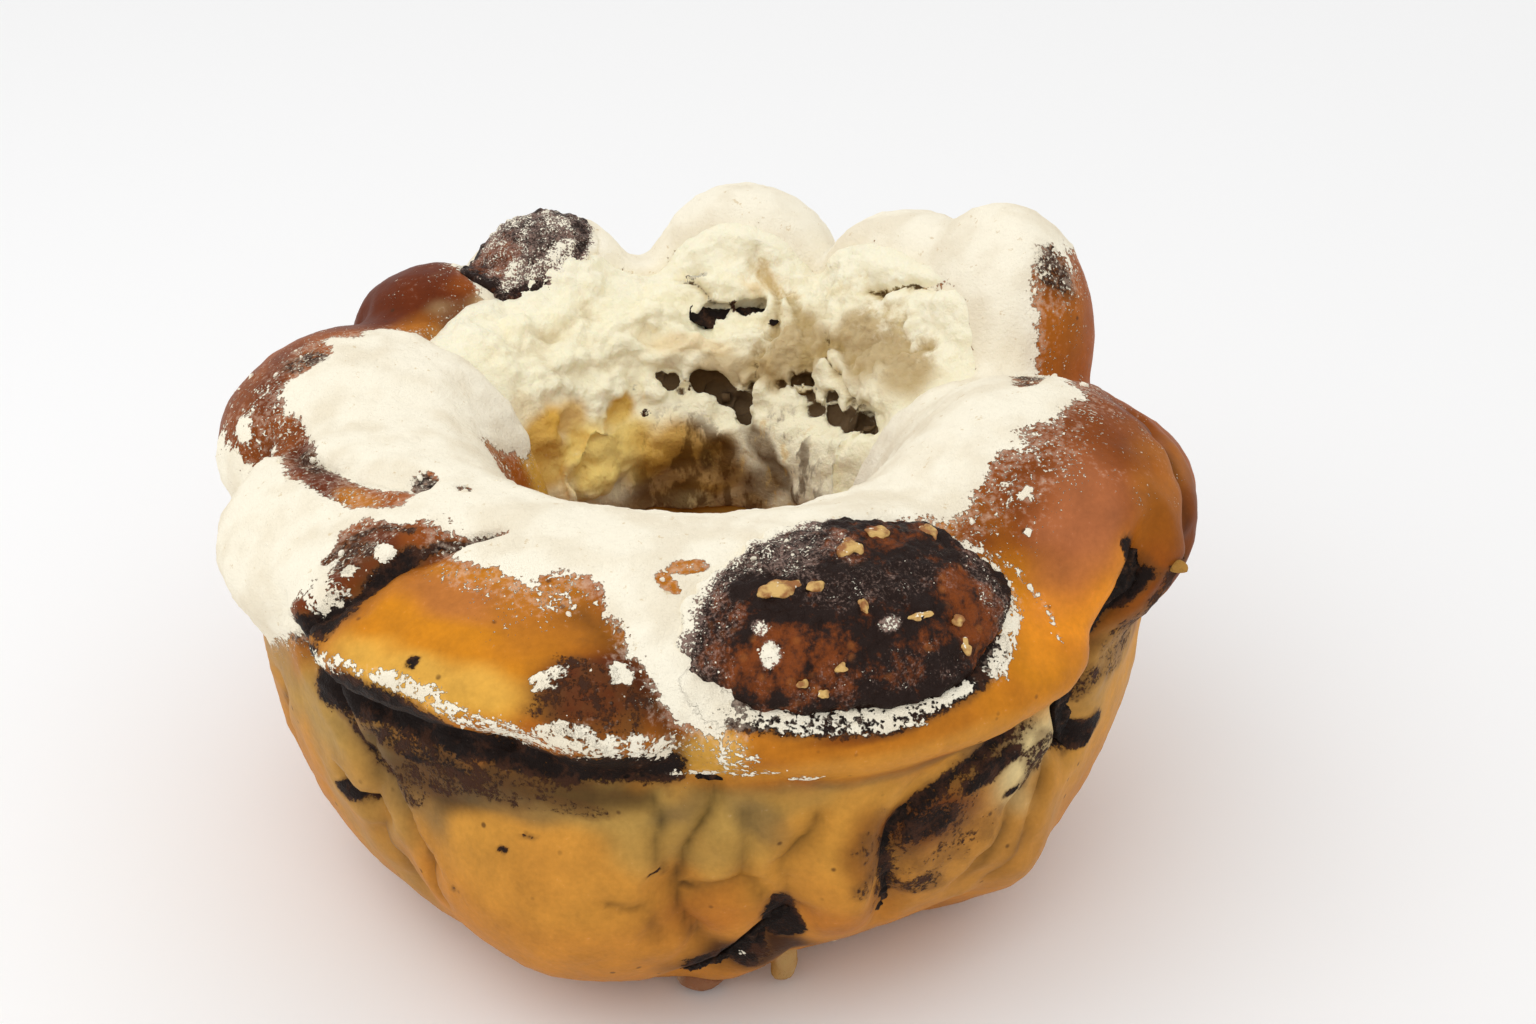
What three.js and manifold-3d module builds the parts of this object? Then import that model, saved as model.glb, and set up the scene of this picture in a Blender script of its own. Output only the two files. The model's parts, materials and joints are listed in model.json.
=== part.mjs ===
// A chocolate babka baked in a ring pan: one twisted dough ring with its chocolate filling.
// Millimetres, +Z up. The cake stands on its flat base at z = 0 and its front faces -Y.
// Azimuths are degrees round the ring's axis, counter-clockwise from +X seen from above.
// A slant is the angle in the ring's cross-section, round the middle of the dough:
// 0 looks outwards, 90 up, 180 towards the hole.

import * as THREE from 'three';
import { mergeVertices } from 'three/addons/utils/BufferGeometryUtils.js';
import Module from 'manifold-3d';

const wasm = await Module();
wasm.setup();

// Driving dimensions of the ring as the pan shaped it
const BASE_RADIUS = 75;
const PAN_RADIUS = 114.5;
const SIDE_HEIGHT = 72;
const CROWN_RADIUS = 77;
const CROWN_HEIGHT = 82;
const CROWN_RISE = 30;
const TUBE_RADIUS = 38;
const TUBE_TAPER = 1;
const FLARE_START = 78;
const FLARE_GAIN = 0.14;
const FLARE_POWER = 1.4;
const HOLE_ROUNDING = 6;
const BASE_FLAT = 0.35;

// The middle of the cake's box, seen from the ring's axis
const AXIS_X = 2.285;
const AXIS_Y = -1.62;

// How far the crown rose above the pan: everywhere, at the back and at the front
const RISE_ALL = 3;
const RISE_BACK = 4.5;
const RISE_FRONT = 3;
const BACK_AZIMUTH = 95;
const FRONT_AZIMUTH = 265;

// The middle of the dough's cross-section, and the mesh that is wrapped round it
const CORE_RADIUS = 80;
const CORE_HEIGHT = 66;
const RING_SEGMENTS = 88;
const SECTION_SEGMENTS = 36;
const CROWN_DENSITY = 0.25;
const REACH = 100;
const MARCH_STEPS = 60;
const MARCH_SHARE = 0.7;

// Crumb relief of the torn inner wall and of the baked skin: depth and size
const TORN_RELIEF = 2.0;
const TORN_GRAIN = 5;
const SKIN_RELIEF = 0.5;
const SKIN_GRAIN = 13;

// Clearances
const GAP = 0.3;
const CREASE_BLEND = 5;

// The foot that didn't fill the pan, at the front right
const FOOT = { azimuth: 295, halfWidth: 13, radius: 76, slope: 42 };

// The side that was pressed a little flat
const FLAT = { azimuth: 205, depth: 5 };

// Risen turns of the twisted strands: middle (azimuth, radius, height), half sizes and tilt
const STRANDS = [
  { azimuth: 237, radius: 89, height: 100, along: 48, across: 33, up: 14, yaw: -4, roll: 10 },
  { azimuth: 259, radius: 98, height: 94, along: 20, across: 22, up: 14, yaw: 0, roll: 10 },
  { azimuth: 291, radius: 88, height: 101, along: 42, across: 28, up: 19, yaw: 0, roll: 8 },
  { azimuth: 297, radius: 93, height: 90, along: 54, across: 30, up: 15, yaw: 0, roll: 6 },
  { azimuth: 337, radius: 86, height: 100, along: 44, across: 40, up: 29, yaw: 0, roll: 0 },
  { azimuth: 358, radius: 99, height: 88, along: 26, across: 28, up: 24, yaw: 0, roll: 0 },
  { azimuth: 26, radius: 91, height: 113, along: 27, across: 24, up: 35, yaw: 0, roll: 0 },
  { azimuth: 44, radius: 84, height: 112, along: 28, across: 24, up: 28, yaw: 0, roll: 0 },
  { azimuth: 79, radius: 86, height: 107, along: 28, across: 26, up: 32, yaw: 0, roll: 0 },
  { azimuth: 116, radius: 88, height: 107, along: 25, across: 25, up: 26, yaw: 0, roll: 0 },
  { azimuth: 138, radius: 90, height: 100, along: 24, across: 28, up: 26, yaw: 0, roll: 0 },
  { azimuth: 163, radius: 86, height: 93, along: 40, across: 40, up: 28, yaw: 0, roll: 0 },
  { azimuth: 198, radius: 89, height: 91, along: 36, across: 28, up: 21, yaw: 0, roll: 0 },
  { azimuth: 253, radius: 84, height: 44, along: 40, across: 32, up: 36, yaw: 0, roll: 0 },
  { azimuth: 287, radius: 86, height: 50, along: 16, across: 31, up: 34, yaw: 0, roll: 0 },
  { azimuth: 311, radius: 84, height: 42, along: 26, across: 31, up: 32, yaw: 0, roll: 0 },
];

// Folds pressed into the skin: route as [azimuth, slant], half width and depth
const FOLDS = [
  { route: [[229, 12], [230, 0], [231, -40]], width: 4, depth: 2.5 },
  { route: [[265, -2], [267.5, -22]], width: 4, depth: 2.5 },
  { route: [[270.5, -8], [267.5, -22], [267.5, -34], [270, -50]], width: 4, depth: 3 },
  { route: [[279, 18], [280, -10], [280, -37]], width: 5, depth: 2 },
  { route: [[309, 20], [301, 15], [295, 4], [292, -9], [291.5, -28], [292, -54]], width: 5, depth: 5 },
  { route: [[310, 0], [309, -20], [304, -42]], width: 4, depth: 3 },
  { route: [[327, 40], [322, 33], [318, 22], [320, 6]], width: 6, depth: 5 },
  { route: [[188, 62], [194, 76], [206, 86], [216, 98]], width: 5, depth: 2.5 },
  { route: [[224, 30], [228, 50], [229, 66], [230, 76]], width: 5, depth: 3 },
  { route: [[20, 134], [34, 142], [54, 136], [74, 144], [88, 139], [104, 141], [112, 147]], width: 5, depth: 7 },
  { route: [[90, 108], [80, 112], [72, 117]], width: 5, depth: 5 },
  { route: [[42, 104], [30, 101], [20, 101]], width: 4, depth: 3 },
  { route: [[62, 20], [58, -10], [52, -40]], width: 5, depth: 3.5 },
  { route: [[142, 22], [138, -8], [142, -38]], width: 5, depth: 3.5 },
  { route: [[186, 16], [182, -12], [186, -44]], width: 5, depth: 3 },
];

// Torn crumb round the mouth of the hole, and scraps at the base:
// middle (azimuth, radius, height), half sizes (along, across, up)
const TORN_LUMPS = [
  { azimuth: 134, radius: 45, height: 78, along: 12, across: 9, up: 11 },
  { azimuth: 118, radius: 46, height: 84, along: 11, across: 10, up: 10 },
  { azimuth: 103, radius: 48, height: 89, along: 13, across: 11, up: 10 },
  { azimuth: 87, radius: 47, height: 86, along: 10, across: 9, up: 11 },
  { azimuth: 56, radius: 48, height: 85, along: 13, across: 11, up: 13 },
  { azimuth: 36, radius: 49, height: 84, along: 13, across: 11, up: 11 },
  { azimuth: 283, radius: 86, height: 10, along: 4, across: 5, up: 9 },
  { azimuth: 270, radius: 83, height: 4, along: 7, across: 6, up: 3.6 },
];
const LUMP_SEGMENTS = 9;
const LUMP_ROUGHNESS = 0.14;

// Chocolate filling that shows in the sides: route of its outer edge as [azimuth, height],
// thickness, and how far it has risen by the time it reaches the hole
const FILLINGS = {
  filling_front_left: {
    route: [[216, 90], [228, 85], [240, 84], [254, 82], [268, 79], [279, 77]],
    thickness: 8,
    rise: 10,
  },
  filling_front_right: {
    route: [[311, 78], [302, 74], [295, 68], [292, 59], [291.5, 48], [292, 36], [293, 26]],
    thickness: 5,
    rise: 6,
  },
  filling_right: {
    route: [[327, 104], [323, 95], [319, 84], [319, 71], [321, 58]],
    thickness: 6,
    rise: 0,
  },
  filling_base: {
    route: [[267, 8], [273, 15], [278, 27], [281, 37]],
    thickness: 6,
    rise: 8,
  },
  filling_back: {
    route: [[66, 86], [75, 88], [84, 87], [93, 88], [102, 85]],
    thickness: 5,
    rise: 36,
  },
  filling_back_left: {
    route: [[150, 84], [141, 74], [137, 60], [139, 44], [140, 30]],
    thickness: 5,
    rise: 6,
  },
};
const FILLING_OUTER = 132;
const FILLING_INNER = 24;
const FILLING_WAVE = 1.2;
const FILLING_STEPS_ALONG = 9;
const FILLING_STEPS_INWARD = 3;
const WAVE_AROUND = 9;
const WAVE_INWARD = 11;

// Filling that lies bare on top of a strand: middle and half sizes as [azimuth, slant]
const BARE_CHOCOLATE = {
  chocolate_front: {
    middle: [287, 61],
    size: [18.5, 22],
    bits: [[280, 67], [285, 73], [292, 75], [296, 73], [290, 60], [298, 51]],
  },
  chocolate_back_left: {
    middle: [121, 88],
    size: [13, 14],
    bits: [],
  },
};
const CHOCOLATE_PROUD = 1.2;
const CHOCOLATE_DEPTH = 3;
const CHOCOLATE_HALF_WIDTH = 20;
const CHOCOLATE_SEGMENTS = 18;
const BIT_SIZE = 2.6;

// Finishes, as the baked cake shows them
const FINISHES = {
  dough: { color: 0xc58a3c, roughness: 0.55 },
  filling: { color: 0x24160f, roughness: 0.5 },
  chocolate: { color: 0x3a2013, roughness: 0.6 },
};

const toRadians = THREE.MathUtils.degToRad;

function smoothMin(a, b, blend) {
  const overlap = Math.max(blend - Math.abs(a - b), 0) / blend;
  return Math.min(a, b) - overlap * overlap * blend / 4;
}

function smoothMax(a, b, blend) {
  return -smoothMin(-a, -b, blend);
}

function angleBetween(a, b) {
  return THREE.MathUtils.euclideanModulo(a - b + 180, 360) - 180;
}

function ringPoint(azimuth, radius, height) {
  const turn = toRadians(azimuth);
  return new THREE.Vector3(radius * Math.cos(turn), radius * Math.sin(turn), height);
}

// Cross-section that the pan gave: flat base, curved side, domed crown and tube wall
function panSection() {
  const outline = [];
  const sideSteps = 8;
  for (let i = 0; i <= sideSteps; i++) {
    const turn = i / sideSteps * Math.PI / 2;
    const radius = BASE_RADIUS + (PAN_RADIUS - BASE_RADIUS) * Math.sin(turn);
    outline.push(new THREE.Vector2(radius, SIDE_HEIGHT * (1 - Math.cos(turn))));
  }
  const crownSteps = 12;
  for (let i = 0; i <= crownSteps; i++) {
    const turn = i / crownSteps * Math.PI;
    const edge = turn < Math.PI / 2 ? PAN_RADIUS : TUBE_RADIUS;
    const radius = CROWN_RADIUS + Math.abs(edge - CROWN_RADIUS) * Math.cos(turn);
    outline.push(new THREE.Vector2(radius, CROWN_HEIGHT + CROWN_RISE * Math.sin(turn)));
  }
  outline.push(new THREE.Vector2(TUBE_RADIUS + TUBE_TAPER, 0));
  return outline;
}

const PAN_SECTION = panSection();

// Distance from a point of the cross-section to its outline, negative inside
function sectionDistance(radius, height) {
  let nearest = Infinity;
  let inside = false;
  for (let i = 0; i < PAN_SECTION.length; i++) {
    const a = PAN_SECTION[i];
    const b = PAN_SECTION[(i + 1) % PAN_SECTION.length];
    const edgeX = b.x - a.x;
    const edgeY = b.y - a.y;
    const along = ((radius - a.x) * edgeX + (height - a.y) * edgeY) / (edgeX * edgeX + edgeY * edgeY);
    const share = THREE.MathUtils.clamp(along, 0, 1);
    nearest = Math.min(nearest, Math.hypot(radius - a.x - edgeX * share, height - a.y - edgeY * share));
    const crosses = (a.y > height) !== (b.y > height);
    if (crosses && radius < a.x + edgeX * (height - a.y) / edgeY) {
      inside = !inside;
    }
  }
  return inside ? -nearest : nearest;
}

// Distance to one risen turn of a strand, an ellipsoid laid along the ring
function strandDistance(point, strand) {
  const middle = ringPoint(strand.azimuth, strand.radius, strand.height);
  const yaw = toRadians(strand.azimuth + strand.yaw);
  const roll = toRadians(strand.roll);
  const offset = point.clone().sub(middle);
  const outward = offset.x * Math.cos(yaw) + offset.y * Math.sin(yaw);
  const along = (-offset.x * Math.sin(yaw) + offset.y * Math.cos(yaw)) / strand.along;
  const across = (outward * Math.cos(roll) - offset.z * Math.sin(roll)) / strand.across;
  const up = (outward * Math.sin(roll) + offset.z * Math.cos(roll)) / strand.up;
  const size = Math.hypot(along, across, up);
  const slope = Math.hypot(along / strand.along, across / strand.across, up / strand.up);
  return size * (size - 1) / Math.max(slope, 1e-9);
}

function crownRise(azimuth) {
  const back = Math.max(Math.cos(toRadians(azimuth - BACK_AZIMUTH)), 0);
  const front = Math.max(Math.cos(toRadians(azimuth - FRONT_AZIMUTH)), 0);
  return RISE_ALL + RISE_BACK * back + RISE_FRONT * front * front;
}

function holeRadius(height) {
  const flare = FLARE_GAIN * Math.max(height - FLARE_START, 0) ** FLARE_POWER;
  return TUBE_RADIUS + TUBE_TAPER * (1 - height / CROWN_HEIGHT) + flare;
}

// Distance to the outside of the hole, positive in the dough's side
function holeDistance(radius, height) {
  const slope = holeRadius(height + 0.5) - holeRadius(height - 0.5);
  return (radius - holeRadius(height)) / Math.hypot(1, slope);
}

// How far a point lies outside the dough, negative inside
function doughDistance(point) {
  const radius = Math.hypot(point.x, point.y);
  const azimuth = THREE.MathUtils.radToDeg(Math.atan2(point.y, point.x));
  const risen = THREE.MathUtils.clamp((point.z - CROWN_HEIGHT) / (CROWN_RISE * 0.8), 0, 1);
  const height = point.z - crownRise(azimuth) * risen;
  const pressed = Math.max(Math.cos(toRadians(azimuth - FLAT.azimuth)), 0);
  let distance = sectionDistance(radius + FLAT.depth * pressed * pressed, height);
  for (const strand of STRANDS) {
    distance = smoothMin(distance, strandDistance(point, strand), CREASE_BLEND);
  }
  distance = smoothMax(distance, -holeDistance(radius, height), HOLE_ROUNDING);
  const missing = Math.max(Math.abs(angleBetween(azimuth, FOOT.azimuth)) - FOOT.halfWidth, 0);
  const slope = toRadians(FOOT.slope);
  const foot = (radius - FOOT.radius) * Math.sin(slope) - point.z * Math.cos(slope) - missing;
  distance = smoothMax(distance, foot, CREASE_BLEND);
  return smoothMax(distance, -point.z, 1);
}

// Distance in the skin from a place to a fold's route, in millimetres
function foldDistance(azimuth, slant, radius, depth, route) {
  let nearest = Infinity;
  for (let i = 0; i + 1 < route.length; i++) {
    const [fromAzimuth, fromSlant] = route[i];
    const [toAzimuth, toSlant] = route[i + 1];
    const x = toRadians(angleBetween(azimuth, fromAzimuth)) * radius;
    const y = toRadians(angleBetween(slant, fromSlant)) * depth;
    const edgeX = toRadians(angleBetween(toAzimuth, fromAzimuth)) * radius;
    const edgeY = toRadians(toSlant - fromSlant) * depth;
    const along = (x * edgeX + y * edgeY) / (edgeX * edgeX + edgeY * edgeY);
    const share = THREE.MathUtils.clamp(along, 0, 1);
    nearest = Math.min(nearest, Math.hypot(x - edgeX * share, y - edgeY * share));
  }
  return nearest;
}

// Uneven swell of the crumb, between about -1 and 1
function crumb(point, scale) {
  const x = point.x / scale;
  const y = point.y / scale;
  const z = point.z / scale;
  const bend = Math.sin(z * 0.8 + y * 0.5);
  const coarse = Math.sin(x + 1.7 * bend) * Math.cos(y * 1.1 + 1.3 * Math.sin(x * 0.7));
  const fine = Math.sin(2.3 * z + 1.1 * Math.sin(1.9 * x)) * Math.cos(2.1 * x - 1.4 * y);
  return 0.65 * coarse + 0.35 * fine;
}

// How torn the wall is: the inner wall at the back is bare crumb, the rest is baked skin
function tornShare(azimuth, slant) {
  const back = THREE.MathUtils.smoothstep(85 - Math.abs(angleBetween(azimuth, 88)), 0, 25);
  const inner = THREE.MathUtils.smoothstep(slant, 82, 100) * THREE.MathUtils.smoothstep(170 - slant, 0, 15);
  return back * inner;
}

// Point of the dough's skin in a direction from the middle of its cross-section
function skinPoint(azimuth, slant) {
  const turn = toRadians(azimuth);
  const lean = toRadians(slant);
  const core = ringPoint(azimuth, CORE_RADIUS, CORE_HEIGHT);
  const outward = new THREE.Vector3(Math.cos(turn), Math.sin(turn), 0);
  outward.multiplyScalar(Math.cos(lean)).setZ(Math.sin(lean));
  const room = Math.cos(lean) < 0 ? (CORE_RADIUS - 2) / -Math.cos(lean) : REACH;
  let depth = Math.min(room, REACH);
  const point = new THREE.Vector3();
  for (let i = 0; i < MARCH_STEPS; i++) {
    point.copy(core).addScaledVector(outward, depth);
    depth -= doughDistance(point) * MARCH_SHARE;
  }
  point.copy(core).addScaledVector(outward, depth);
  if (point.z < BASE_FLAT) {
    return point.setZ(0);
  }
  const radius = Math.hypot(point.x, point.y);
  let inward = 0;
  for (const fold of FOLDS) {
    const off = foldDistance(azimuth, slant, radius, depth, fold.route) / fold.width;
    inward += fold.depth * Math.exp(-off * off);
  }
  const torn = tornShare(azimuth, slant);
  inward += TORN_RELIEF * torn * crumb(point, TORN_GRAIN);
  inward += SKIN_RELIEF * (1 - torn) * crumb(point, SKIN_GRAIN);
  return point.addScaledVector(outward, -inward);
}

function toSolid(geometry) {
  const shape = geometry.clone();
  shape.deleteAttribute('normal');
  shape.deleteAttribute('uv');
  const merged = mergeVertices(shape, 1e-4);
  return new wasm.Manifold(new wasm.Mesh({
    numProp: 3,
    vertProperties: new Float32Array(merged.attributes.position.array),
    triVerts: new Uint32Array(merged.index.array),
  }));
}

// The largest of a solid's separate bodies
function mainBody(solid) {
  return solid.decompose().reduce((best, body) => body.volume() > best.volume() ? body : best);
}

function toMesh(name, solid, finish) {
  const faces = mainBody(solid).getMesh();
  const geometry = new THREE.BufferGeometry();
  geometry.setAttribute('position', new THREE.BufferAttribute(faces.vertProperties, 3));
  geometry.setIndex(new THREE.BufferAttribute(faces.triVerts, 1));
  geometry.computeVertexNormals();
  const mesh = new THREE.Mesh(geometry, new THREE.MeshStandardMaterial({ ...finish, metalness: 0 }));
  mesh.name = name;
  mesh.position.set(-AXIS_X, -AXIS_Y, 0);
  return mesh;
}

// Moves every vertex of a geometry to where the rule puts it
function reshape(geometry, rule) {
  const places = geometry.attributes.position;
  const place = new THREE.Vector3();
  for (let i = 0; i < places.count; i++) {
    place.fromBufferAttribute(places, i);
    const moved = rule(place);
    places.setXYZ(i, moved.x, moved.y, moved.z);
  }
  return geometry;
}

// The whole ring's skin, as a torus whose points are drawn onto the dough
function ringSolid() {
  const torus = new THREE.TorusGeometry(2, 1, SECTION_SEGMENTS, RING_SEGMENTS);
  const skin = reshape(torus, (place) => {
    const azimuth = THREE.MathUtils.radToDeg(Math.atan2(place.y, place.x));
    const turn = Math.atan2(place.z, Math.hypot(place.x, place.y) - 2);
    const slant = THREE.MathUtils.radToDeg(turn + CROWN_DENSITY * Math.cos(turn));
    return skinPoint(azimuth, slant);
  });
  return toSolid(skin);
}

// One rough lump of torn crumb
function lumpSolid(lump) {
  const ball = new THREE.SphereGeometry(1, LUMP_SEGMENTS, LUMP_SEGMENTS - 3);
  const turn = toRadians(lump.azimuth);
  const middle = ringPoint(lump.azimuth, lump.radius, lump.height);
  const rough = reshape(ball, (place) => {
    const swell = 1 + LUMP_ROUGHNESS * crumb(place.clone().addScaledVector(middle, 0.1), 0.45);
    const along = place.x * lump.along * swell;
    const across = place.y * lump.across * swell;
    const x = middle.x + along * Math.sin(turn) + across * Math.cos(turn);
    const y = middle.y - along * Math.cos(turn) + across * Math.sin(turn);
    return new THREE.Vector3(x, y, Math.max(middle.z + place.z * lump.up * swell, 0));
  });
  return toSolid(rough);
}

// A sheet of filling that follows its route round the side and runs in to the hole
function fillingSolid(filling, extra) {
  const degreeLength = toRadians(1) * PAN_RADIUS;
  const points = filling.route.map(([azimuth, height]) => new THREE.Vector2(azimuth * degreeLength, height));
  const route = new THREE.SplineCurve(points);
  const sheet = new THREE.BoxGeometry(1, 1, 1, FILLING_STEPS_ALONG, FILLING_STEPS_INWARD, 1);
  const thickness = filling.thickness + 2 * extra;
  const shaped = reshape(sheet, (place) => {
    const share = place.x + 0.5;
    const inward = 0.5 + place.y;
    const onRoute = route.getPoint(share);
    const heading = route.getTangent(share);
    const endwise = Math.abs(place.x) > 0.499 ? Math.sign(place.x) * extra : 0;
    const side = place.z * thickness;
    const radius = THREE.MathUtils.lerp(FILLING_OUTER, FILLING_INNER, inward);
    const sideways = -heading.y * side + heading.x * endwise;
    const azimuth = onRoute.x / degreeLength + THREE.MathUtils.radToDeg(sideways / radius);
    const wave = FILLING_WAVE * Math.sin(onRoute.x / WAVE_AROUND + radius / WAVE_INWARD);
    const height = onRoute.y + heading.x * side + heading.y * endwise + filling.rise * inward + wave;
    return ringPoint(azimuth, radius, height);
  });
  return toSolid(shaped);
}

// Bare filling on top of a strand: a flat ball wrapped on the skin
function chocolateSolid(patch, extra, proud) {
  const ball = new THREE.SphereGeometry(1, CHOCOLATE_SEGMENTS, CHOCOLATE_SEGMENTS / 2);
  const [middleAzimuth, middleSlant] = patch.middle;
  const [halfAzimuth, halfSlant] = patch.size;
  const wider = 1 + extra / CHOCOLATE_HALF_WIDTH;
  const wrapped = reshape(ball, (place) => {
    const azimuth = middleAzimuth + place.x * halfAzimuth * wider;
    const slant = middleSlant + place.z * halfSlant * wider;
    const skin = skinPoint(azimuth, slant);
    const outward = skin.clone().sub(ringPoint(azimuth, CORE_RADIUS, CORE_HEIGHT)).normalize();
    const offset = place.y < 0 ? -place.y * proud : -place.y * (CHOCOLATE_DEPTH + extra);
    return skin.addScaledVector(outward, offset);
  });
  return toSolid(wrapped);
}

// Chopped bits baked into the bare filling
function bitSolid([azimuth, slant]) {
  const bit = new THREE.IcosahedronGeometry(BIT_SIZE, 0);
  const skin = skinPoint(azimuth, slant);
  bit.rotateZ(azimuth);
  bit.scale(1.2, 1, 0.8);
  bit.translate(skin.x, skin.y, skin.z + CHOCOLATE_PROUD / 2);
  return toSolid(bit);
}

function chocolateWithBits(patch) {
  const bits = patch.bits.map(bitSolid);
  return bits.reduce((whole, bit) => whole.add(bit), chocolateSolid(patch, 0, CHOCOLATE_PROUD));
}

const cake = new THREE.Group();
const openAbove = CHOCOLATE_PROUD + 3 * BIT_SIZE;
const ring = TORN_LUMPS.map(lumpSolid).reduce((whole, lump) => whole.add(lump), ringSolid());
let dough = ring;
for (const patch of Object.values(BARE_CHOCOLATE)) {
  dough = dough.subtract(chocolateSolid(patch, GAP, openAbove));
}
for (const [name, filling] of Object.entries(FILLINGS)) {
  cake.add(toMesh(name, fillingSolid(filling, 0).intersect(dough), FINISHES.filling));
  dough = dough.subtract(fillingSolid(filling, GAP));
}
for (const [name, patch] of Object.entries(BARE_CHOCOLATE)) {
  cake.add(toMesh(name, chocolateWithBits(patch), FINISHES.chocolate));
}
cake.add(toMesh('babka_dough', dough, FINISHES.dough));

export default cake;
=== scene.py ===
# A chocolate babka baked in a ring pan, dusted with icing sugar. The frame is in metres.
# Sizes here are millimetres round the ring's own axis. Azimuth is degrees round the hole,
# counter-clockwise from +X seen from above. Slant is the angle in the ring's cross-section
# round the middle of the dough: 0 looks outwards, 90 up, 180 towards the hole.
import json
import math

import bmesh
import bpy
import numpy as np
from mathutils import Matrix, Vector


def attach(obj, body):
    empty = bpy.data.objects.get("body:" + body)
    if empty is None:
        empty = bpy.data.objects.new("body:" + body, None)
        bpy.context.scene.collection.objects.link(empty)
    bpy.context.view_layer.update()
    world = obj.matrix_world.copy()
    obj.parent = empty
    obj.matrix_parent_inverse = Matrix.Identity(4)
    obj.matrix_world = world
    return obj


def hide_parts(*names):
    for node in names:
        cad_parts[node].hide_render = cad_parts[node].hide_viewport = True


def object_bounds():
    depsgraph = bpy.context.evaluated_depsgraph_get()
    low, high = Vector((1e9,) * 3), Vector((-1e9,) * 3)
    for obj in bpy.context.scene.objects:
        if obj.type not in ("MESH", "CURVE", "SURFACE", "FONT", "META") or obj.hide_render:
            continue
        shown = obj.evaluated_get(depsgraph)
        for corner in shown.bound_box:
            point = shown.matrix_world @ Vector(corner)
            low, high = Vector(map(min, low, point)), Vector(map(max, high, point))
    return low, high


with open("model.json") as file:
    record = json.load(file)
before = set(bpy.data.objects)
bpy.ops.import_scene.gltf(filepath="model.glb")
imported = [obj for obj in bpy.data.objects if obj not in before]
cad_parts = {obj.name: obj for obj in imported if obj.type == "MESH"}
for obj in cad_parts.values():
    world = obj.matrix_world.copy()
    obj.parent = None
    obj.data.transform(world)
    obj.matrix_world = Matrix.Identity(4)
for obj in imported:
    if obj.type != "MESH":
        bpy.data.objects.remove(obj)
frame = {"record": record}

CAD_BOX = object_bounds()

# The studio: a pale floor, a white room and one wide soft light from the front left.
# None of it belongs to the cake. The camera looks down at the front from 30 degrees.
MM = 0.001
HOLE_BOX = np.array(frame["record"]["physics"]["openings"][0]["box_m"])
AXIS = np.array([*HOLE_BOX.mean(0)[:2], 0.0]) / MM
CAMERA_ELEVATION = math.radians(30)
CAMERA_DISTANCE = 560
CAMERA_LENS = 51
CAMERA_SENSOR = 36
RING_MIDDLE = 62
PICTURE_MIDDLE = (19.4, 9.0, 77.5)
FLOOR_HALF_WIDTH = 4000
FLOOR_COLOUR = (0.93, 0.93, 0.93, 1)
FLOOR_ROUGHNESS = 0.9
LIGHT_PLACE = (-420, -380, 900)
LIGHT_SIZE = 900
LIGHT_POWER = 2.6
ROOM_LIGHT = 0.92
ROOM_COLOUR = (1, 1, 1, 1)


def in_frame(points):
    """Places round the ring's own axis, in the frame."""
    return (np.asarray(points, float) + AXIS) * MM


def linear(red, green, blue):
    """A colour as the eye reads it, 0 to 255, in the renderer's linear values."""
    shares = np.array([red, green, blue]) / 255
    bright = ((shares + 0.055) / 1.055) ** 2.4
    return np.where(shares <= 0.04045, shares / 12.92, bright)


def link_object(name, data):
    piece = bpy.data.objects.new(name, data)
    bpy.context.scene.collection.objects.link(piece)
    return piece


def aim(piece, place, target):
    piece.location = in_frame(place)
    way = Vector(in_frame(target)) - piece.location
    piece.rotation_euler = way.to_track_quat("-Z", "Y").to_euler()


camera = link_object("camera", bpy.data.cameras.new("camera"))
camera.data.lens = CAMERA_LENS
camera.data.sensor_width = CAMERA_SENSOR
camera_back = -CAMERA_DISTANCE * math.cos(CAMERA_ELEVATION)
camera_height = RING_MIDDLE + CAMERA_DISTANCE * math.sin(CAMERA_ELEVATION)
aim(camera, (0, camera_back, camera_height), PICTURE_MIDDLE)
bpy.context.scene.camera = camera

light = link_object("soft_light", bpy.data.lights.new("soft_light", "AREA"))
light.data.size = LIGHT_SIZE * MM
light.data.energy = LIGHT_POWER
aim(light, LIGHT_PLACE, (0, 0, RING_MIDDLE))

room = bpy.data.worlds.new("room")
bpy.context.scene.world = room
room.use_nodes = True
room.node_tree.nodes["Background"].inputs["Color"].default_value = ROOM_COLOUR
room.node_tree.nodes["Background"].inputs["Strength"].default_value = ROOM_LIGHT
bpy.context.scene.view_settings.view_transform = "Standard"

floor_corners = np.array([(-1, -1, 0), (1, -1, 0), (1, 1, 0), (-1, 1, 0)]) * FLOOR_HALF_WIDTH * MM
floor_mesh = bpy.data.meshes.new("floor")
floor_mesh.from_pydata(floor_corners.tolist(), [], [(0, 1, 2, 3)])
floor = link_object("floor", floor_mesh)
floor_finish = bpy.data.materials.new("pale_board")
floor_finish.use_nodes = True
floor_surface = floor_finish.node_tree.nodes["Principled BSDF"]
floor_surface.inputs["Base Color"].default_value = FLOOR_COLOUR
floor_surface.inputs["Roughness"].default_value = FLOOR_ROUGHNESS
floor.data.materials.append(floor_finish)

# The baked dough: one twisted ring of sweet dough, shaped by the pan below and risen above it.
# Its skin is glossy and golden where the pan held it, brown on top, and folded at the strands.

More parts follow.
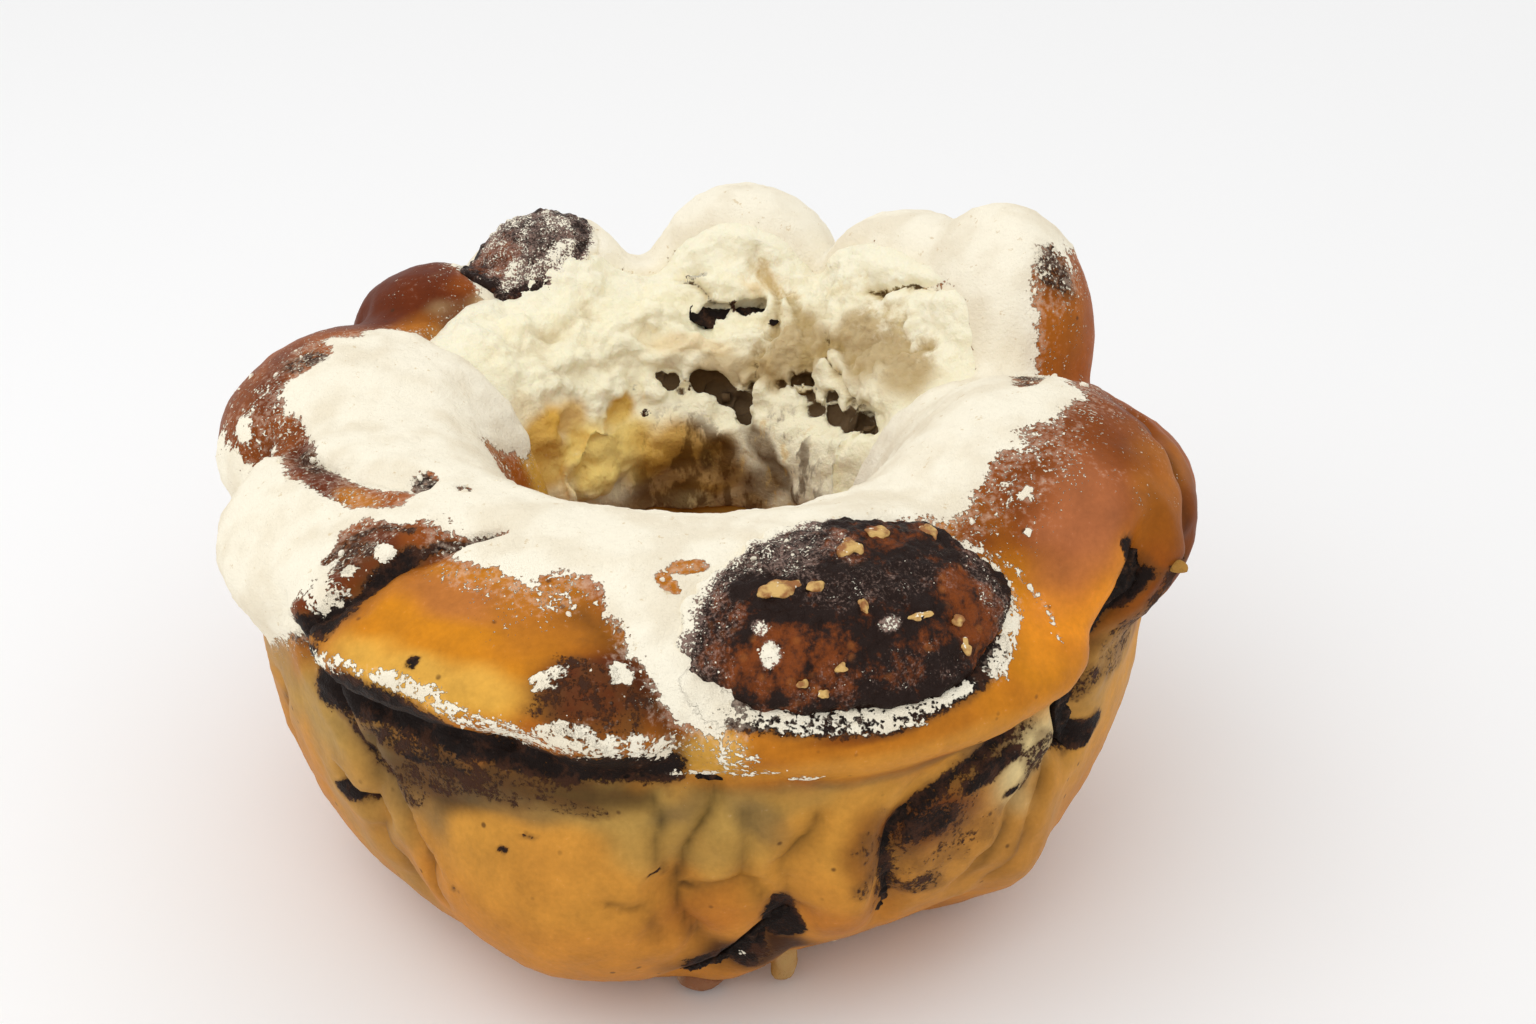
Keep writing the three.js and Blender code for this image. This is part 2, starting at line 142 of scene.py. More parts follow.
# The section that the pan gave, how much the crown rose over it, and how the hole flares upwards
BASE_RADIUS = 75
PAN_RADIUS = 114.5
SIDE_HEIGHT = 72
CROWN_RADIUS = 77
CROWN_HEIGHT = 82
CROWN_RISE = 30
TUBE_RADIUS = 38
TUBE_TAPER = 1
FLARE_START = 78
FLARE_GAIN = 0.14
FLARE_POWER = 1.4
HOLE_ROUNDING = 6
RISE_ALL = 3
RISE_BACK = 4.5
RISE_FRONT = 3
BACK_AZIMUTH = 95
FRONT_AZIMUTH = 265
CREASE_BLEND = 5

# Where the dough didn't fill the foot of the pan, and where its side is flatter
FOOT = {"azimuth": 295, "half_width": 13, "radius": 76, "slope": 42}
FLAT = {"azimuth": 205, "depth": 5}

# The core circle. Places on the skin are found by stepping out from it, up to the reach.
CORE_RADIUS = 80
CORE_HEIGHT = 66
REACH = 100
MARCH_SHARE = 0.7

# Risen turns of the strands: azimuth, radius, height, half sizes along, across and up, yaw, roll
STRANDS = (
    (237, 89, 100, 48, 33, 14, -4, 10),
    (259, 98, 94, 20, 22, 14, 0, 10),
    (291, 88, 101, 42, 28, 19, 0, 8),
    (297, 93, 90, 54, 30, 15, 0, 6),
    (337, 86, 100, 44, 40, 29, 0, 0),
    (358, 99, 88, 26, 28, 24, 0, 0),
    (26, 91, 113, 27, 24, 35, 0, 0),
    (44, 84, 112, 28, 24, 28, 0, 0),
    (79, 86, 107, 28, 26, 32, 0, 0),
    (116, 88, 107, 25, 25, 26, 0, 0),
    (138, 90, 100, 24, 28, 26, 0, 0),
    (163, 86, 93, 40, 40, 28, 0, 0),
    (198, 89, 91, 36, 28, 21, 0, 0),
    (253, 84, 44, 40, 32, 36, 0, 0),
    (287, 86, 50, 16, 31, 34, 0, 0),
    (311, 84, 42, 26, 31, 32, 0, 0),
)

# Folds pressed into the skin: route as azimuth and slant, half width, depth
FOLDS = (
    (((222, 24), (226, 6), (228, -2), (228, -28), (227, -44), (230, -60)), 4, 2.6),
    (((229, 10), (230, -11), (233, -24), (236, -36), (237, -50)), 2.8, 3),
    (((221, -27), (227, -33)), 2.6, 4.5),
    (((265, 17), (266, 4), (265, -9), (266, -22)), 3, 1.6),
    (((272, 17), (271, 8), (269, -5), (268, -19), (267, -28), (268, -42), (270, -52)), 4, 3),
    (((275, 7), (275, -10), (275, -25), (278, -38)), 3.5, 2),
    (((267, -30), (273, -26), (276, -27)), 3, 1.6),
    (((260, -29), (264, -32), (265, -44)), 2.6, 1.2),
    (((283, 3), (282, -6), (279, -16), (280, -34)), 4, 2),
    (((309, 16), (304, 11), (300, 5), (296, -3), (293, -10), (291, -20), (292, -34), (293, -50)), 4, 2.2),
    (((313, -12), (309, -24), (307, -33), (304, -48)), 4, 2.6),
    (((317, -8), (313, -26), (310, -38), (308, -50)), 4, 2.6),
    (((327, 46), (324, 34), (319, 24), (317, 8), (318, -8)), 5, 5),
    (((350, 66), (343, 55), (338, 44), (333, 30)), 5, 3),
    (((186, 68), (191, 72), (198, 78), (206, 85), (216, 96)), 4, 2.5),
    (((218, 30), (224, 42), (228, 56), (229, 68), (233, 80), (238, 89)), 4, 3.2),
    (((256, 68), (262, 58), (266, 44), (268, 34)), 6, 1.6),
    (((20, 134), (34, 142), (54, 136), (74, 144), (88, 139), (104, 141), (112, 147)), 5, 7),
    (((62, 20), (58, -10), (52, -40)), 5, 3.5),
    (((142, 22), (138, -8), (142, -38)), 5, 3.5),
    (((186, 16), (182, -12), (186, -44)), 5, 3),
    (((352, 12), (347, -8), (350, -30), (346, -48)), 4.5, 3),
    (((8, 26), (13, 10), (10, -14), (14, -40)), 4.5, 3.2),
    (((13, 8), (21, -6), (22, -26)), 3, 1.8),
    (((34, 34), (38, 18), (34, 2), (37, -22)), 4.5, 3),
    (((58, -12), (66, -24), (68, -40)), 3, 2),
    (((82, 22), (88, 4), (84, -18), (87, -44)), 4.5, 3),
    (((112, 26), (117, 8), (112, -14), (108, -38)), 4.5, 3.2),
    (((117, 6), (125, -8), (126, -28)), 3, 1.8),
    (((162, 30), (157, 10), (161, -12), (158, -38)), 4.5, 3),
    (((172, 4), (168, -16), (171, -36)), 3, 1.8),
    (((206, -4), (201, -24), (205, -46)), 3.5, 2.2),
    (((182, 58), (188, 44), (186, 30)), 6, 2),
    (((148, 60), (153, 46), (150, 30)), 6, 2.4),
)

# Seams where filling shows: route of the outer edge as azimuth and height, thickness,
# how far the layer has risen by the time it reaches the hole, and how open the seam is
SEAMS = {
    "filling_front_left": (((216, 90), (228, 85), (240, 84), (254, 82), (268, 79), (279, 77)), 8, 10, 0.88),
    "filling_front_right": (
        ((311, 78), (302, 74), (295, 68), (292, 59), (291.5, 48), (292, 36), (293, 26)), 5, 6, 0.4),
    "filling_right": (((327, 104), (323, 95), (319, 84), (319, 71), (321, 58)), 6, 0, 0.95),
    "filling_base": (((267, 8), (273, 15), (278, 27), (281, 37)), 6, 8, 0.95),
    "filling_back": (((66, 86), (75, 88), (84, 87), (93, 88), (102, 85)), 5, 36, 0.9),
    "filling_back_left": (((150, 84), (141, 74), (137, 60), (139, 44), (140, 30)), 5, 6, 0.85),
}
# The radii between which a layer rises, how it waves, and the points along its edge, of which
# every fourth is enough for its groove
SEAM_OUTER = 132
SEAM_INNER = 24
SEAM_WAVE = 1.2
WAVE_AROUND = 9
WAVE_INWARD = 11
SEAM_STEPS = 60
SEAM_THIN = 4
# The groove pressed in along an open seam, its width as a share of the layer's thickness
GROOVE_DEPTH = 4.5
GROOVE_WIDTH = 0.75
GROOVE_UNEVEN = 0.2

# The mesh that is drawn onto the dough: steps round the ring and round its section
AROUND = 490
SECTION = 200
COARSE_AROUND = 240
COARSE_SECTION = 120
COARSE_STEPS = 45
FINE_STEPS = 9
# How far the mesh starts below the form, as the relief then lifts it
SKIN_UNDER = 0.9
# How closely steps lie round the section: on the crown, and in the hole and under the foot
CROWN_FROM = 8
CROWN_WEIGHT = 1.25
HOLE_FROM = 150
FOOT_FROM = -62
HIDDEN_WEIGHT = 0.45

# Where the skin tore away on the far side of the hole: azimuths, slants, how gradually, how deep
TORN_AZIMUTH = (6, 160)
TORN_SLANT = (92, 174)
TORN_FADE = (14, 9)
TORN_DEEP = 8

# Where filling baked bare on top: middle and half sizes, and how far the skin stops below it
BARE_CHOCOLATE = {
    "chocolate_front": ((288.8, 65), (20.6, 27.5)),
    "chocolate_back_left": ((121, 88), (13.5, 15)),
}
BARE_DEEP = 2.2


def smooth_min(a, b, blend):
    overlap = np.maximum(blend - np.abs(a - b), 0) / blend
    return np.minimum(a, b) - overlap * overlap * blend / 4


def smooth_max(a, b, blend):
    return -smooth_min(-a, -b, blend)


def smooth_step(low, high, value):
    share = np.clip((value - low) / (high - low), 0, 1)
    return share * share * (3 - 2 * share)


def angle_between(a, b):
    return (a - b + 180) % 360 - 180


def ring_point(azimuth, radius, height):
    turn = np.radians(azimuth)
    return np.stack(np.broadcast_arrays(radius * np.cos(turn), radius * np.sin(turn), height), -1)


def pan_section():
    """The cross-section that the pan gave, as radius and height."""
    side = np.radians(np.linspace(0, 90, 9))
    crown = np.radians(np.linspace(0, 180, 13))
    edge = np.where(crown < math.pi / 2 - 1e-9, PAN_RADIUS, TUBE_RADIUS)
    side_radius = BASE_RADIUS + (PAN_RADIUS - BASE_RADIUS) * np.sin(side)
    crown_radius = CROWN_RADIUS + np.abs(edge - CROWN_RADIUS) * np.cos(crown)
    radius = np.concatenate([side_radius, crown_radius, [TUBE_RADIUS + TUBE_TAPER]])
    side_height = SIDE_HEIGHT * (1 - np.cos(side))
    height = np.concatenate([side_height, CROWN_HEIGHT + CROWN_RISE * np.sin(crown), [0]])
    return np.stack([radius, height], 1)


PAN = pan_section()


def section_distance(radius, height):
    """Distance to the pan's section, negative inside."""
    nearest = np.full(radius.shape, np.inf)
    inside = np.zeros(radius.shape, bool)
    for start, end in zip(PAN, np.roll(PAN, -1, 0)):
        edge = end - start
        along = ((radius - start[0]) * edge[0] + (height - start[1]) * edge[1]) / (edge @ edge)
        share = np.clip(along, 0, 1)
        off = np.hypot(radius - start[0] - edge[0] * share, height - start[1] - edge[1] * share)
        nearest = np.minimum(nearest, off)
        if edge[1] != 0:
            crosses = (start[1] > height) != (end[1] > height)
            inside ^= crosses & (radius < start[0] + edge[0] * (height - start[1]) / edge[1])
    return np.where(inside, -nearest, nearest)


def strand_distance(point, strand):
    """Distance to one risen turn of a strand, an ellipsoid laid along the ring."""
    azimuth, radius, height, along_size, across_size, up_size, yaw, roll = strand
    offset = point - ring_point(azimuth, radius, height)
    turn = math.radians(azimuth + yaw)
    lean = math.radians(roll)
    outward = offset[..., 0] * math.cos(turn) + offset[..., 1] * math.sin(turn)
    along = (-offset[..., 0] * math.sin(turn) + offset[..., 1] * math.cos(turn)) / along_size
    across = (outward * math.cos(lean) - offset[..., 2] * math.sin(lean)) / across_size
    up = (outward * math.sin(lean) + offset[..., 2] * math.cos(lean)) / up_size
    size = np.sqrt(along**2 + across**2 + up**2)
    slope = np.sqrt((along / along_size) ** 2 + (across / across_size) ** 2 + (up / up_size) ** 2)
    return size * (size - 1) / np.maximum(slope, 1e-9)


def hole_radius(height):
    flare = FLARE_GAIN * np.maximum(height - FLARE_START, 0) ** FLARE_POWER
    return TUBE_RADIUS + TUBE_TAPER * (1 - height / CROWN_HEIGHT) + flare


def dough_distance(point):
    """How far a point lies outside the dough, negative inside."""
    radius = np.hypot(point[..., 0], point[..., 1])
    azimuth = np.degrees(np.arctan2(point[..., 1], point[..., 0]))
    height = point[..., 2]
    risen = np.clip((height - CROWN_HEIGHT) / (CROWN_RISE * 0.8), 0, 1)
    back = np.maximum(np.cos(np.radians(azimuth - BACK_AZIMUTH)), 0)
    front = np.maximum(np.cos(np.radians(azimuth - FRONT_AZIMUTH)), 0)
    level = height - (RISE_ALL + RISE_BACK * back + RISE_FRONT * front**2) * risen
    pressed = np.maximum(np.cos(np.radians(azimuth - FLAT["azimuth"])), 0) ** 2
    distance = section_distance(radius + FLAT["depth"] * pressed, level)
    for strand in STRANDS:
        distance = smooth_min(distance, strand_distance(point, strand), CREASE_BLEND)
    slope = hole_radius(level + 0.5) - hole_radius(level - 0.5)
    hole = (radius - hole_radius(level)) / np.hypot(1, slope)
    distance = smooth_max(distance, -hole, HOLE_ROUNDING)
    off_foot = np.abs(angle_between(azimuth, FOOT["azimuth"]))
    missing = np.maximum(off_foot - FOOT["half_width"], 0)
    lean = math.radians(FOOT["slope"])
    foot = (radius - FOOT["radius"]) * math.sin(lean) - height * math.cos(lean) - missing
    distance = smooth_max(distance, foot, CREASE_BLEND)
    return smooth_max(distance, -height, 1)


def section_ray(azimuth, slant):
    """The start of a ray in the middle of the dough, and its direction."""
    turn, lean = np.radians(azimuth), np.radians(slant)
    core = ring_point(azimuth, CORE_RADIUS, CORE_HEIGHT)
    way = np.stack([np.cos(turn) * np.cos(lean), np.sin(turn) * np.cos(lean), np.sin(lean)], -1)
    return core, way


def march(core, way, depth, steps):
    for _ in range(steps):
        depth = depth - dough_distance(core + way * depth[..., None]) * MARCH_SHARE
    return depth


def coarse_skin():
    """How deep the dough is in each direction, on a coarse grid from which finer ones start."""
    azimuth = np.arange(COARSE_AROUND + 1) * 360 / COARSE_AROUND
    slant = -180 + np.arange(COARSE_SECTION + 1) * 360 / COARSE_SECTION
    azimuth, slant = np.meshgrid(azimuth, slant, indexing="ij")
    inward = np.minimum(np.cos(np.radians(slant)), -1e-6)
    room_inward = np.where(np.cos(np.radians(slant)) < 0, (CORE_RADIUS - 2) / -inward, REACH)
    return march(*section_ray(azimuth, slant), np.minimum(room_inward, REACH), COARSE_STEPS)


COARSE = coarse_skin()


def skin_depth(azimuth, slant):
    """Distance from the middle of the dough to its skin in each direction."""
    across = (azimuth % 360) * COARSE_AROUND / 360
    up = ((slant + 180) % 360) * COARSE_SECTION / 360
    i = np.minimum(across.astype(int), COARSE_AROUND - 1)
    j = np.minimum(up.astype(int), COARSE_SECTION - 1)
    s, t = across - i, up - j
    start = (COARSE[i, j] * (1 - s) + COARSE[i + 1, j] * s) * (1 - t)
    start = start + (COARSE[i, j + 1] * (1 - s) + COARSE[i + 1, j + 1] * s) * t
    return march(*section_ray(azimuth, slant), start + 1, FINE_STEPS)


def route_distance(x, y, route, x_size, y_size):
    """Distance in millimetres to a route whose first value is an azimuth. x_size and y_size are the
    millimetres that one unit of each value takes."""
    nearest = np.full(np.broadcast(x, y).shape, np.inf)
    for (x0, y0), (x1, y1) in zip(route, route[1:]):
        off_x = angle_between(x, x0) * x_size
        off_y = (y - y0) * y_size
        edge_x = angle_between(x1, x0) * x_size
        edge_y = (y1 - y0) * y_size
        length = np.maximum(edge_x**2 + edge_y**2, 1e-9)
        share = np.clip((off_x * edge_x + off_y * edge_y) / length, 0, 1)
        nearest = np.minimum(nearest, np.hypot(off_x - edge_x * share, off_y - edge_y * share))
    return nearest


def skin_distance(azimuth, slant, radius, depth, route):
    """Distance in millimetres to a route on the skin, given as azimuths and slants."""
    degree = math.radians(1)
    return route_distance(azimuth, slant, route, degree * radius, degree * depth)


def smooth_route(points, steps):
    """A smooth curve through points, as uniform Catmull-Rom pieces, with its directions."""
    points = np.array(points, float)
    share = np.linspace(0, len(points) - 1, steps)
    first = np.minimum(share.astype(int), len(points) - 2)
    t = (share - first)[:, None]
    before, start = points[np.maximum(first - 1, 0)], points[first]
    end, after = points[first + 1], points[np.minimum(first + 2, len(points) - 1)]
    v0, v1 = (end - before) / 2, (after - start) / 2
    place = (2 * start - 2 * end + v0 + v1) * t**3 + (3 * end - 3 * start - 2 * v0 - v1) * t**2
    way = (2 * start - 2 * end + v0 + v1) * 3 * t**2 + (3 * end - 3 * start - 2 * v0 - v1) * 2 * t
    return place + v0 * t + start, way + v0


def seam_line(name):
    """A seam's outer edge as azimuth and height, with its direction in millimetres."""
    degree = math.radians(1) * PAN_RADIUS
    route = [(azimuth * degree, height) for azimuth, height in SEAMS[name][0]]
    place, way = smooth_route(route, SEAM_STEPS)
    way /= np.linalg.norm(way, axis=1)[:, None]
    return place / [degree, 1], way


def seam_lift(azimuth, radius, rise):
    """How much higher a seam's layer lies at a radius than at its outer edge."""
    wave = np.sin(azimuth * math.radians(1) * PAN_RADIUS / WAVE_AROUND + radius / WAVE_INWARD)
    return rise * (SEAM_OUTER - radius) / (SEAM_OUTER - SEAM_INNER) + SEAM_WAVE * wave


def crease(distance, width):
    """A pressed fold: a soft valley with a sharp line at its bottom, and a swollen edge."""
    valley = 0.7 * np.exp(-((distance / width) ** 2)) + 0.45 * np.exp(-distance / (0.28 * width))
    return valley - 0.12 * np.exp(-(((distance - 1.9 * width) / width) ** 2))


def pressed_in(azimuth, slant, point, depth):
    """How far folds and seams press the skin in."""
    radius = np.hypot(point[..., 0], point[..., 1])
    inward = np.zeros(azimuth.shape)
    bent_azimuth = azimuth + 0.9 * wander(point, 13, 17)
    bent_slant = slant + 1.8 * wander(point, 13, 18)
    for route, width, deep in FOLDS:
        off = skin_distance(bent_azimuth, bent_slant, radius, depth, route)
        inward += deep * crease(off, width)
    uneven = 1 + GROOVE_UNEVEN * wander(point, 11, 19)
    for name, (_, thickness, rise, openness) in SEAMS.items():
        level = point[..., 2] - seam_lift(azimuth, radius, rise)
        route = seam_line(name)[0][::SEAM_THIN]
        off = route_distance(azimuth, level, route, math.radians(1) * radius, 1)
        inward += GROOVE_DEPTH * openness * uneven * np.exp(-((off / (GROOVE_WIDTH * thickness)) ** 2))
    return inward


def dough_skin(azimuth, slant):
    """Points of the dough's skin in directions from its middle, and the directions."""
    core, way = section_ray(azimuth, slant)
    depth = skin_depth(azimuth, slant)
    point = core + way * depth[..., None]
    on_base = point[..., 2] < 1
    inward = SKIN_UNDER + np.where(on_base, 0, pressed_in(azimuth, slant, point, depth))
    point = point - way * inward[..., None]
    point[..., 2] = np.where(on_base, 0.35, point[..., 2])
    return point, way


def border_share(value, ends, fade):
    """1 well inside a range and 0 at its ends."""
    return smooth_step(0, fade, value - ends[0]) * smooth_step(0, fade, ends[1] - value)


def torn_share(azimuth, slant):
    return border_share(azimuth, TORN_AZIMUTH, TORN_FADE[0]) * border_share(slant, TORN_SLANT, TORN_FADE[1])


def even_slants():
    """Slants that leave about equal lengths of skin between them, closer on the crown."""
    slant = np.linspace(-180, 180, 721)
    azimuth = np.arange(0, 360, 10.0)
    depth = skin_depth(*np.meshgrid(azimuth, slant, indexing="ij"))
    radius = CORE_RADIUS + depth * np.cos(np.radians(slant))
    height = CORE_HEIGHT + depth * np.sin(np.radians(slant))
    length = np.hypot(np.diff(radius, axis=1), np.diff(height, axis=1)).mean(0)
    middle = (slant[1:] + slant[:-1]) / 2
    weight = np.where(middle > CROWN_FROM, CROWN_WEIGHT, 1.0)
    weight = np.where((middle > HOLE_FROM) | (middle < FOOT_FROM), HIDDEN_WEIGHT, weight)
    passed = np.concatenate([[0], np.cumsum(length * weight)])
    return np.interp(np.arange(SECTION) / SECTION * passed[-1], passed, slant)


def grid_faces(rows, columns):
    """Quads of a grid closed both ways, as a torus is."""
    i, j = np.meshgrid(np.arange(rows), np.arange(columns), indexing="ij")
    i_next, j_next = (i + 1) % rows, (j + 1) % columns
    corners = [i * columns + j, i_next * columns + j, i_next * columns + j_next, i * columns + j_next]
    return np.stack(corners, -1).reshape(-1, 4)


def make_mesh(name, points, faces):
    """A smooth mesh of places round the ring's axis."""
    mesh = bpy.data.meshes.new(name)
    mesh.from_pydata(in_frame(points).reshape(-1, 3), [], faces)
    mesh.shade_smooth()
    return mesh


def store(mesh, name, values):
    """Keeps one number, or one colour, for each vertex."""
    values = np.asarray(values, np.float32)
    if values.ndim == 1:
        mesh.attributes.new(name, "FLOAT", "POINT").data.foreach_set("value", values)
    else:
        colour = np.concatenate([values, np.ones((len(values), 1), np.float32)], 1)
        mesh.attributes.new(name, "FLOAT_COLOR", "POINT").data.foreach_set("color", colour.ravel())


def wander(point, size, seed):
    """A smooth uneven value, about -1 to 1, that changes over that many millimetres."""
    draw = np.random.default_rng(seed)
    total = 0
    for _ in range(7):
        way = draw.normal(size=3)
        way /= np.linalg.norm(way)
        total = total + np.sin(point @ way * (draw.uniform(4, 9) / size) + draw.uniform(0, 6.3))
    return total / 2.6


def patch(azimuth, slant, middle, half, turn=0, soft=0.3, uneven=0.0):
    """An oval patch on the skin: 1 inside, 0 outside, with a soft edge."""
    x = angle_between(azimuth, middle[0])
    y = angle_between(slant, middle[1])
    c, s = math.cos(math.radians(turn)), math.sin(math.radians(turn))
    size = np.hypot((x * c + y * s) / half[0], (y * c - x * s) / half[1])
    return 1 - smooth_step(1 - soft, 1 + soft, size + uneven)


def line(azimuth, slant, radius, depth, route, width):
    """A soft-edged line on the skin, that many millimetres wide on each side."""
    off = skin_distance(azimuth, slant, radius, depth, route)
    return 1 - smooth_step(0.3 * width, 1.7 * width, off)


# How the crust browned, with painted shade and light among these colours, as red, green and blue to the eye
BAKED = {
    "gold": (203, 144, 62),
    "deep_gold": (192, 127, 54),
    "tan": (178, 134, 70),
    "amber": (206, 131, 34),
    "lit_amber": (240, 150, 44),
    "roll": (184, 114, 38),
    "chestnut": (134, 70, 30),
    "pink_brown_and_sheen": (172, 104, 66),
    "copper": (160, 86, 34),
    "mahogany": (104, 48, 16),
    "red_brown": (98, 48, 28),
    "olive": (176, 140, 74),
    "cream": (226, 204, 148),
    "honey": (226, 176, 80),
    "lit_yolk": (255, 224, 136),
    "umber": (104, 70, 26),
    "painted_shade_grey": (112, 92, 62),
    "grey": (76, 56, 36),
    "tube": (172, 126, 56),
    "burnt": (52, 32, 18),
}
# The white room's shine on the crust, which the colours above hold and the material adds again
SHINE = 0.009
BAKED_LIGHT = 1.06


def baked(name):
    """A crust colour without the shine on it."""
    return np.maximum(linear(*BAKED[name]) - SHINE, 0.0008) / BAKED_LIGHT


# Painted shade: how much darker the crust is in a fold, and how far that reaches as a share of the fold's
# width
FOLD_SHADE = 0.5
FOLD_SHADE_WIDTH = 0.5

# Patches of crust colour: colour, middle, half sizes, turn, strength. Later ones lie on earlier ones.
CRUST_PATCHES = (
    ("tan", (224, -20), (11, 50), 0, 0.9),
    ("deep_gold", (260, -48), (34, 12), 0, 0.7),
    ("copper", (271, -38), (5, 11), 0, 0.45),
    ("copper", (287, -42), (9, 8), 0, 0.35),
    # Painted shade on the pan side, under the overhang of the front seams
    ("olive", (263, 11), (14, 14), 0, 0.9),
    ("olive", (270, -3), (8, 18), 0, 0.75),
    ("olive", (281, 12), (9, 8), 0, 0.6),
    # Painted shade in the pan side's folds
    ("painted_shade_grey", (277, 4), (2.4, 13), 12, 0.6),
    ("painted_shade_grey", (268, 10), (2.4, 9), -10, 0.6),
    ("painted_shade_grey", (233, -6), (6, 20), 10, 0.7),
    ("grey", (239, 6), (9, 14), 0, 0.95),
    ("grey", (251, 14), (13, 8), 0, 0.9),
    ("painted_shade_grey", (248, 3), (8, 6), 0, 0.6),
    ("gold", (287, -4), (7, 18), 0, 0.8),
    # Painted shadow under the roll's overhang
    ("painted_shade_grey", (292, 18), (18, 4), 0, 0.6),
    ("chestnut", (299, -16), (7, 18), 0, 0.55),
    ("mahogany", (297, -13), (5.5, 10), 0, 1.0),
    ("mahogany", (288.5, -14), (3, 14), 0, 0.6),
    ("painted_shade_grey", (306, 6), (5, 12), 0, 0.8),
    ("cream", (312, -2), (6, 18), -6, 0.9),
    ("tan", (307, -36), (13, 24), 0, 0.35),
    ("tan", (322, 8), (6, 24), 0, 0.7),
    ("tan", (206, 8), (13, 25), 0, 0.9),
    # Painted shade on the pan side under the left lobe
    ("olive", (217, 4), (8, 15), 10, 0.7),
    ("painted_shade_grey", (229, 6), (6, 9), 0, 0.5),
    ("amber", (243, 52), (18, 22), 0, 1.0),
    ("honey", (241, 42), (15, 6), 0, 0.75),
    ("pink_brown_and_sheen", (244, 64), (12, 6), 0, 0.6),
    ("roll", (229, 54), (2.4, 18), -8, 0.8),
    ("roll", (253, 64), (8, 12), 0, 0.8),
    ("red_brown", (260, 45), (7, 13), 0, 1.0),
    ("roll", (288, 30), (28, 12), 0, 1.0),
    ("gold", (292, 24), (20, 4), 0, 0.6),
    ("honey", (271, 32), (3.5, 7), 0, 0.7),
    ("mahogany", (287, 32.5), (5, 2), 0, 0.7),
    ("amber", (309, 55), (9, 29), 0, 0.9),
    # Painted light: the amber ridge at the right painted brighter, as if lit
    ("lit_amber", (318, 44), (9, 12), 0, 0.9),
    ("chestnut", (332, 70), (24, 17), 0, 1.0),
    # Painted sheen on the lower left of the right lobe
    ("pink_brown_and_sheen", (322, 60), (7, 13), -20, 0.9),
    ("roll", (338, 44), (10, 16), 0, 0.6),
    # Painted shade on the far right side, turned away from the light
    ("mahogany", (338, 28), (14, 18), 0, 0.8),
    ("tan", (328, 14), (7, 14), 0, 0.9),
    ("copper", (12, 50), (18, 34), 0, 0.9),
    ("roll", (12, 76), (5, 9), 0, 0.4),
    ("mahogany", (15, 77), (3, 6), 0, 0.5),
    ("chestnut", (60, 50), (34, 20), 0, 0.8),
    ("chestnut", (108, 50), (26, 22), 0, 0.8),
    ("mahogany", (145, 70), (12, 38), 0, 1.0),
    ("roll", (153, 92), (5, 8), 0, 0.8),
    ("chestnut", (176, 40), (15, 32), 0, 1.0),
    ("mahogany", (169, 62), (12, 5), 0, 0.6),
    ("mahogany", (196, 75), (14, 8), 0, 1.0),
    ("roll", (211, 79), (5, 4), 0, 1.0),
    ("mahogany", (222, 53), (5.5, 11), 0, 0.9),
    ("red_brown", (223, 68), (7, 12), 0, 0.9),
    ("chestnut", (232, 80), (7, 6), 0, 0.8),
    ("roll", (268, 79), (3, 8), 0, 1.0),
    ("copper", (186, 140), (12, 9), 0, 1.0),
    ("cream", (80, 122), (72, 30), 0, 1.0),
    ("honey", (154, 152), (16, 16), 0, 0.9),
    ("burnt", (276, -62), (9, 10), 0, 0.95),
)


def with_patches(colour, azimuth, slant, patches, soft, uneven):
    """A colour with patches of baked colours blended into it."""
    for name, middle, half, turn, strength in patches:
        share = strength * patch(azimuth, slant, middle, half, turn, soft, uneven)[:, None]
        colour = colour * (1 - share) + baked(name) * share
    return colour


def crust_colour(azimuth, slant, point):
    """The browning of the crust before any sugar or chocolate, with painted shade and light on it."""
    uneven = 0.16 * wander(point, 14, 5)
    low = smooth_step(10, -70, slant + 12 * wander(point, 40, 16))[:, None]
    colour = baked("gold") * (1 - low) + baked("deep_gold") * low
    crown = smooth_step(6, 34, slant + 7 * wander(point, 34, 15) + 12 * uneven)[:, None]
    colour = colour * (1 - crown) + baked("copper") * crown
    tube = smooth_step(148, 162, np.abs(slant))[:, None]
    colour = colour * (1 - tube) + baked("tube") * tube
    colour = with_patches(colour, azimuth, slant, CRUST_PATCHES, 0.45, uneven)
    # Painted shade along the folds
    folded = np.zeros(azimuth.shape)
    radius = np.hypot(point[:, 0], point[:, 1])
    depth = np.hypot(radius - CORE_RADIUS, point[:, 2] - CORE_HEIGHT)
    for route, width, _ in FOLDS:
        off = skin_distance(azimuth, slant, radius, depth, route)
        folded = np.maximum(folded, np.exp(-off / (FOLD_SHADE_WIDTH * width)))
    return colour * (1 - FOLD_SHADE * np.maximum(folded * (1 + 2 * uneven), 0))[:, None]


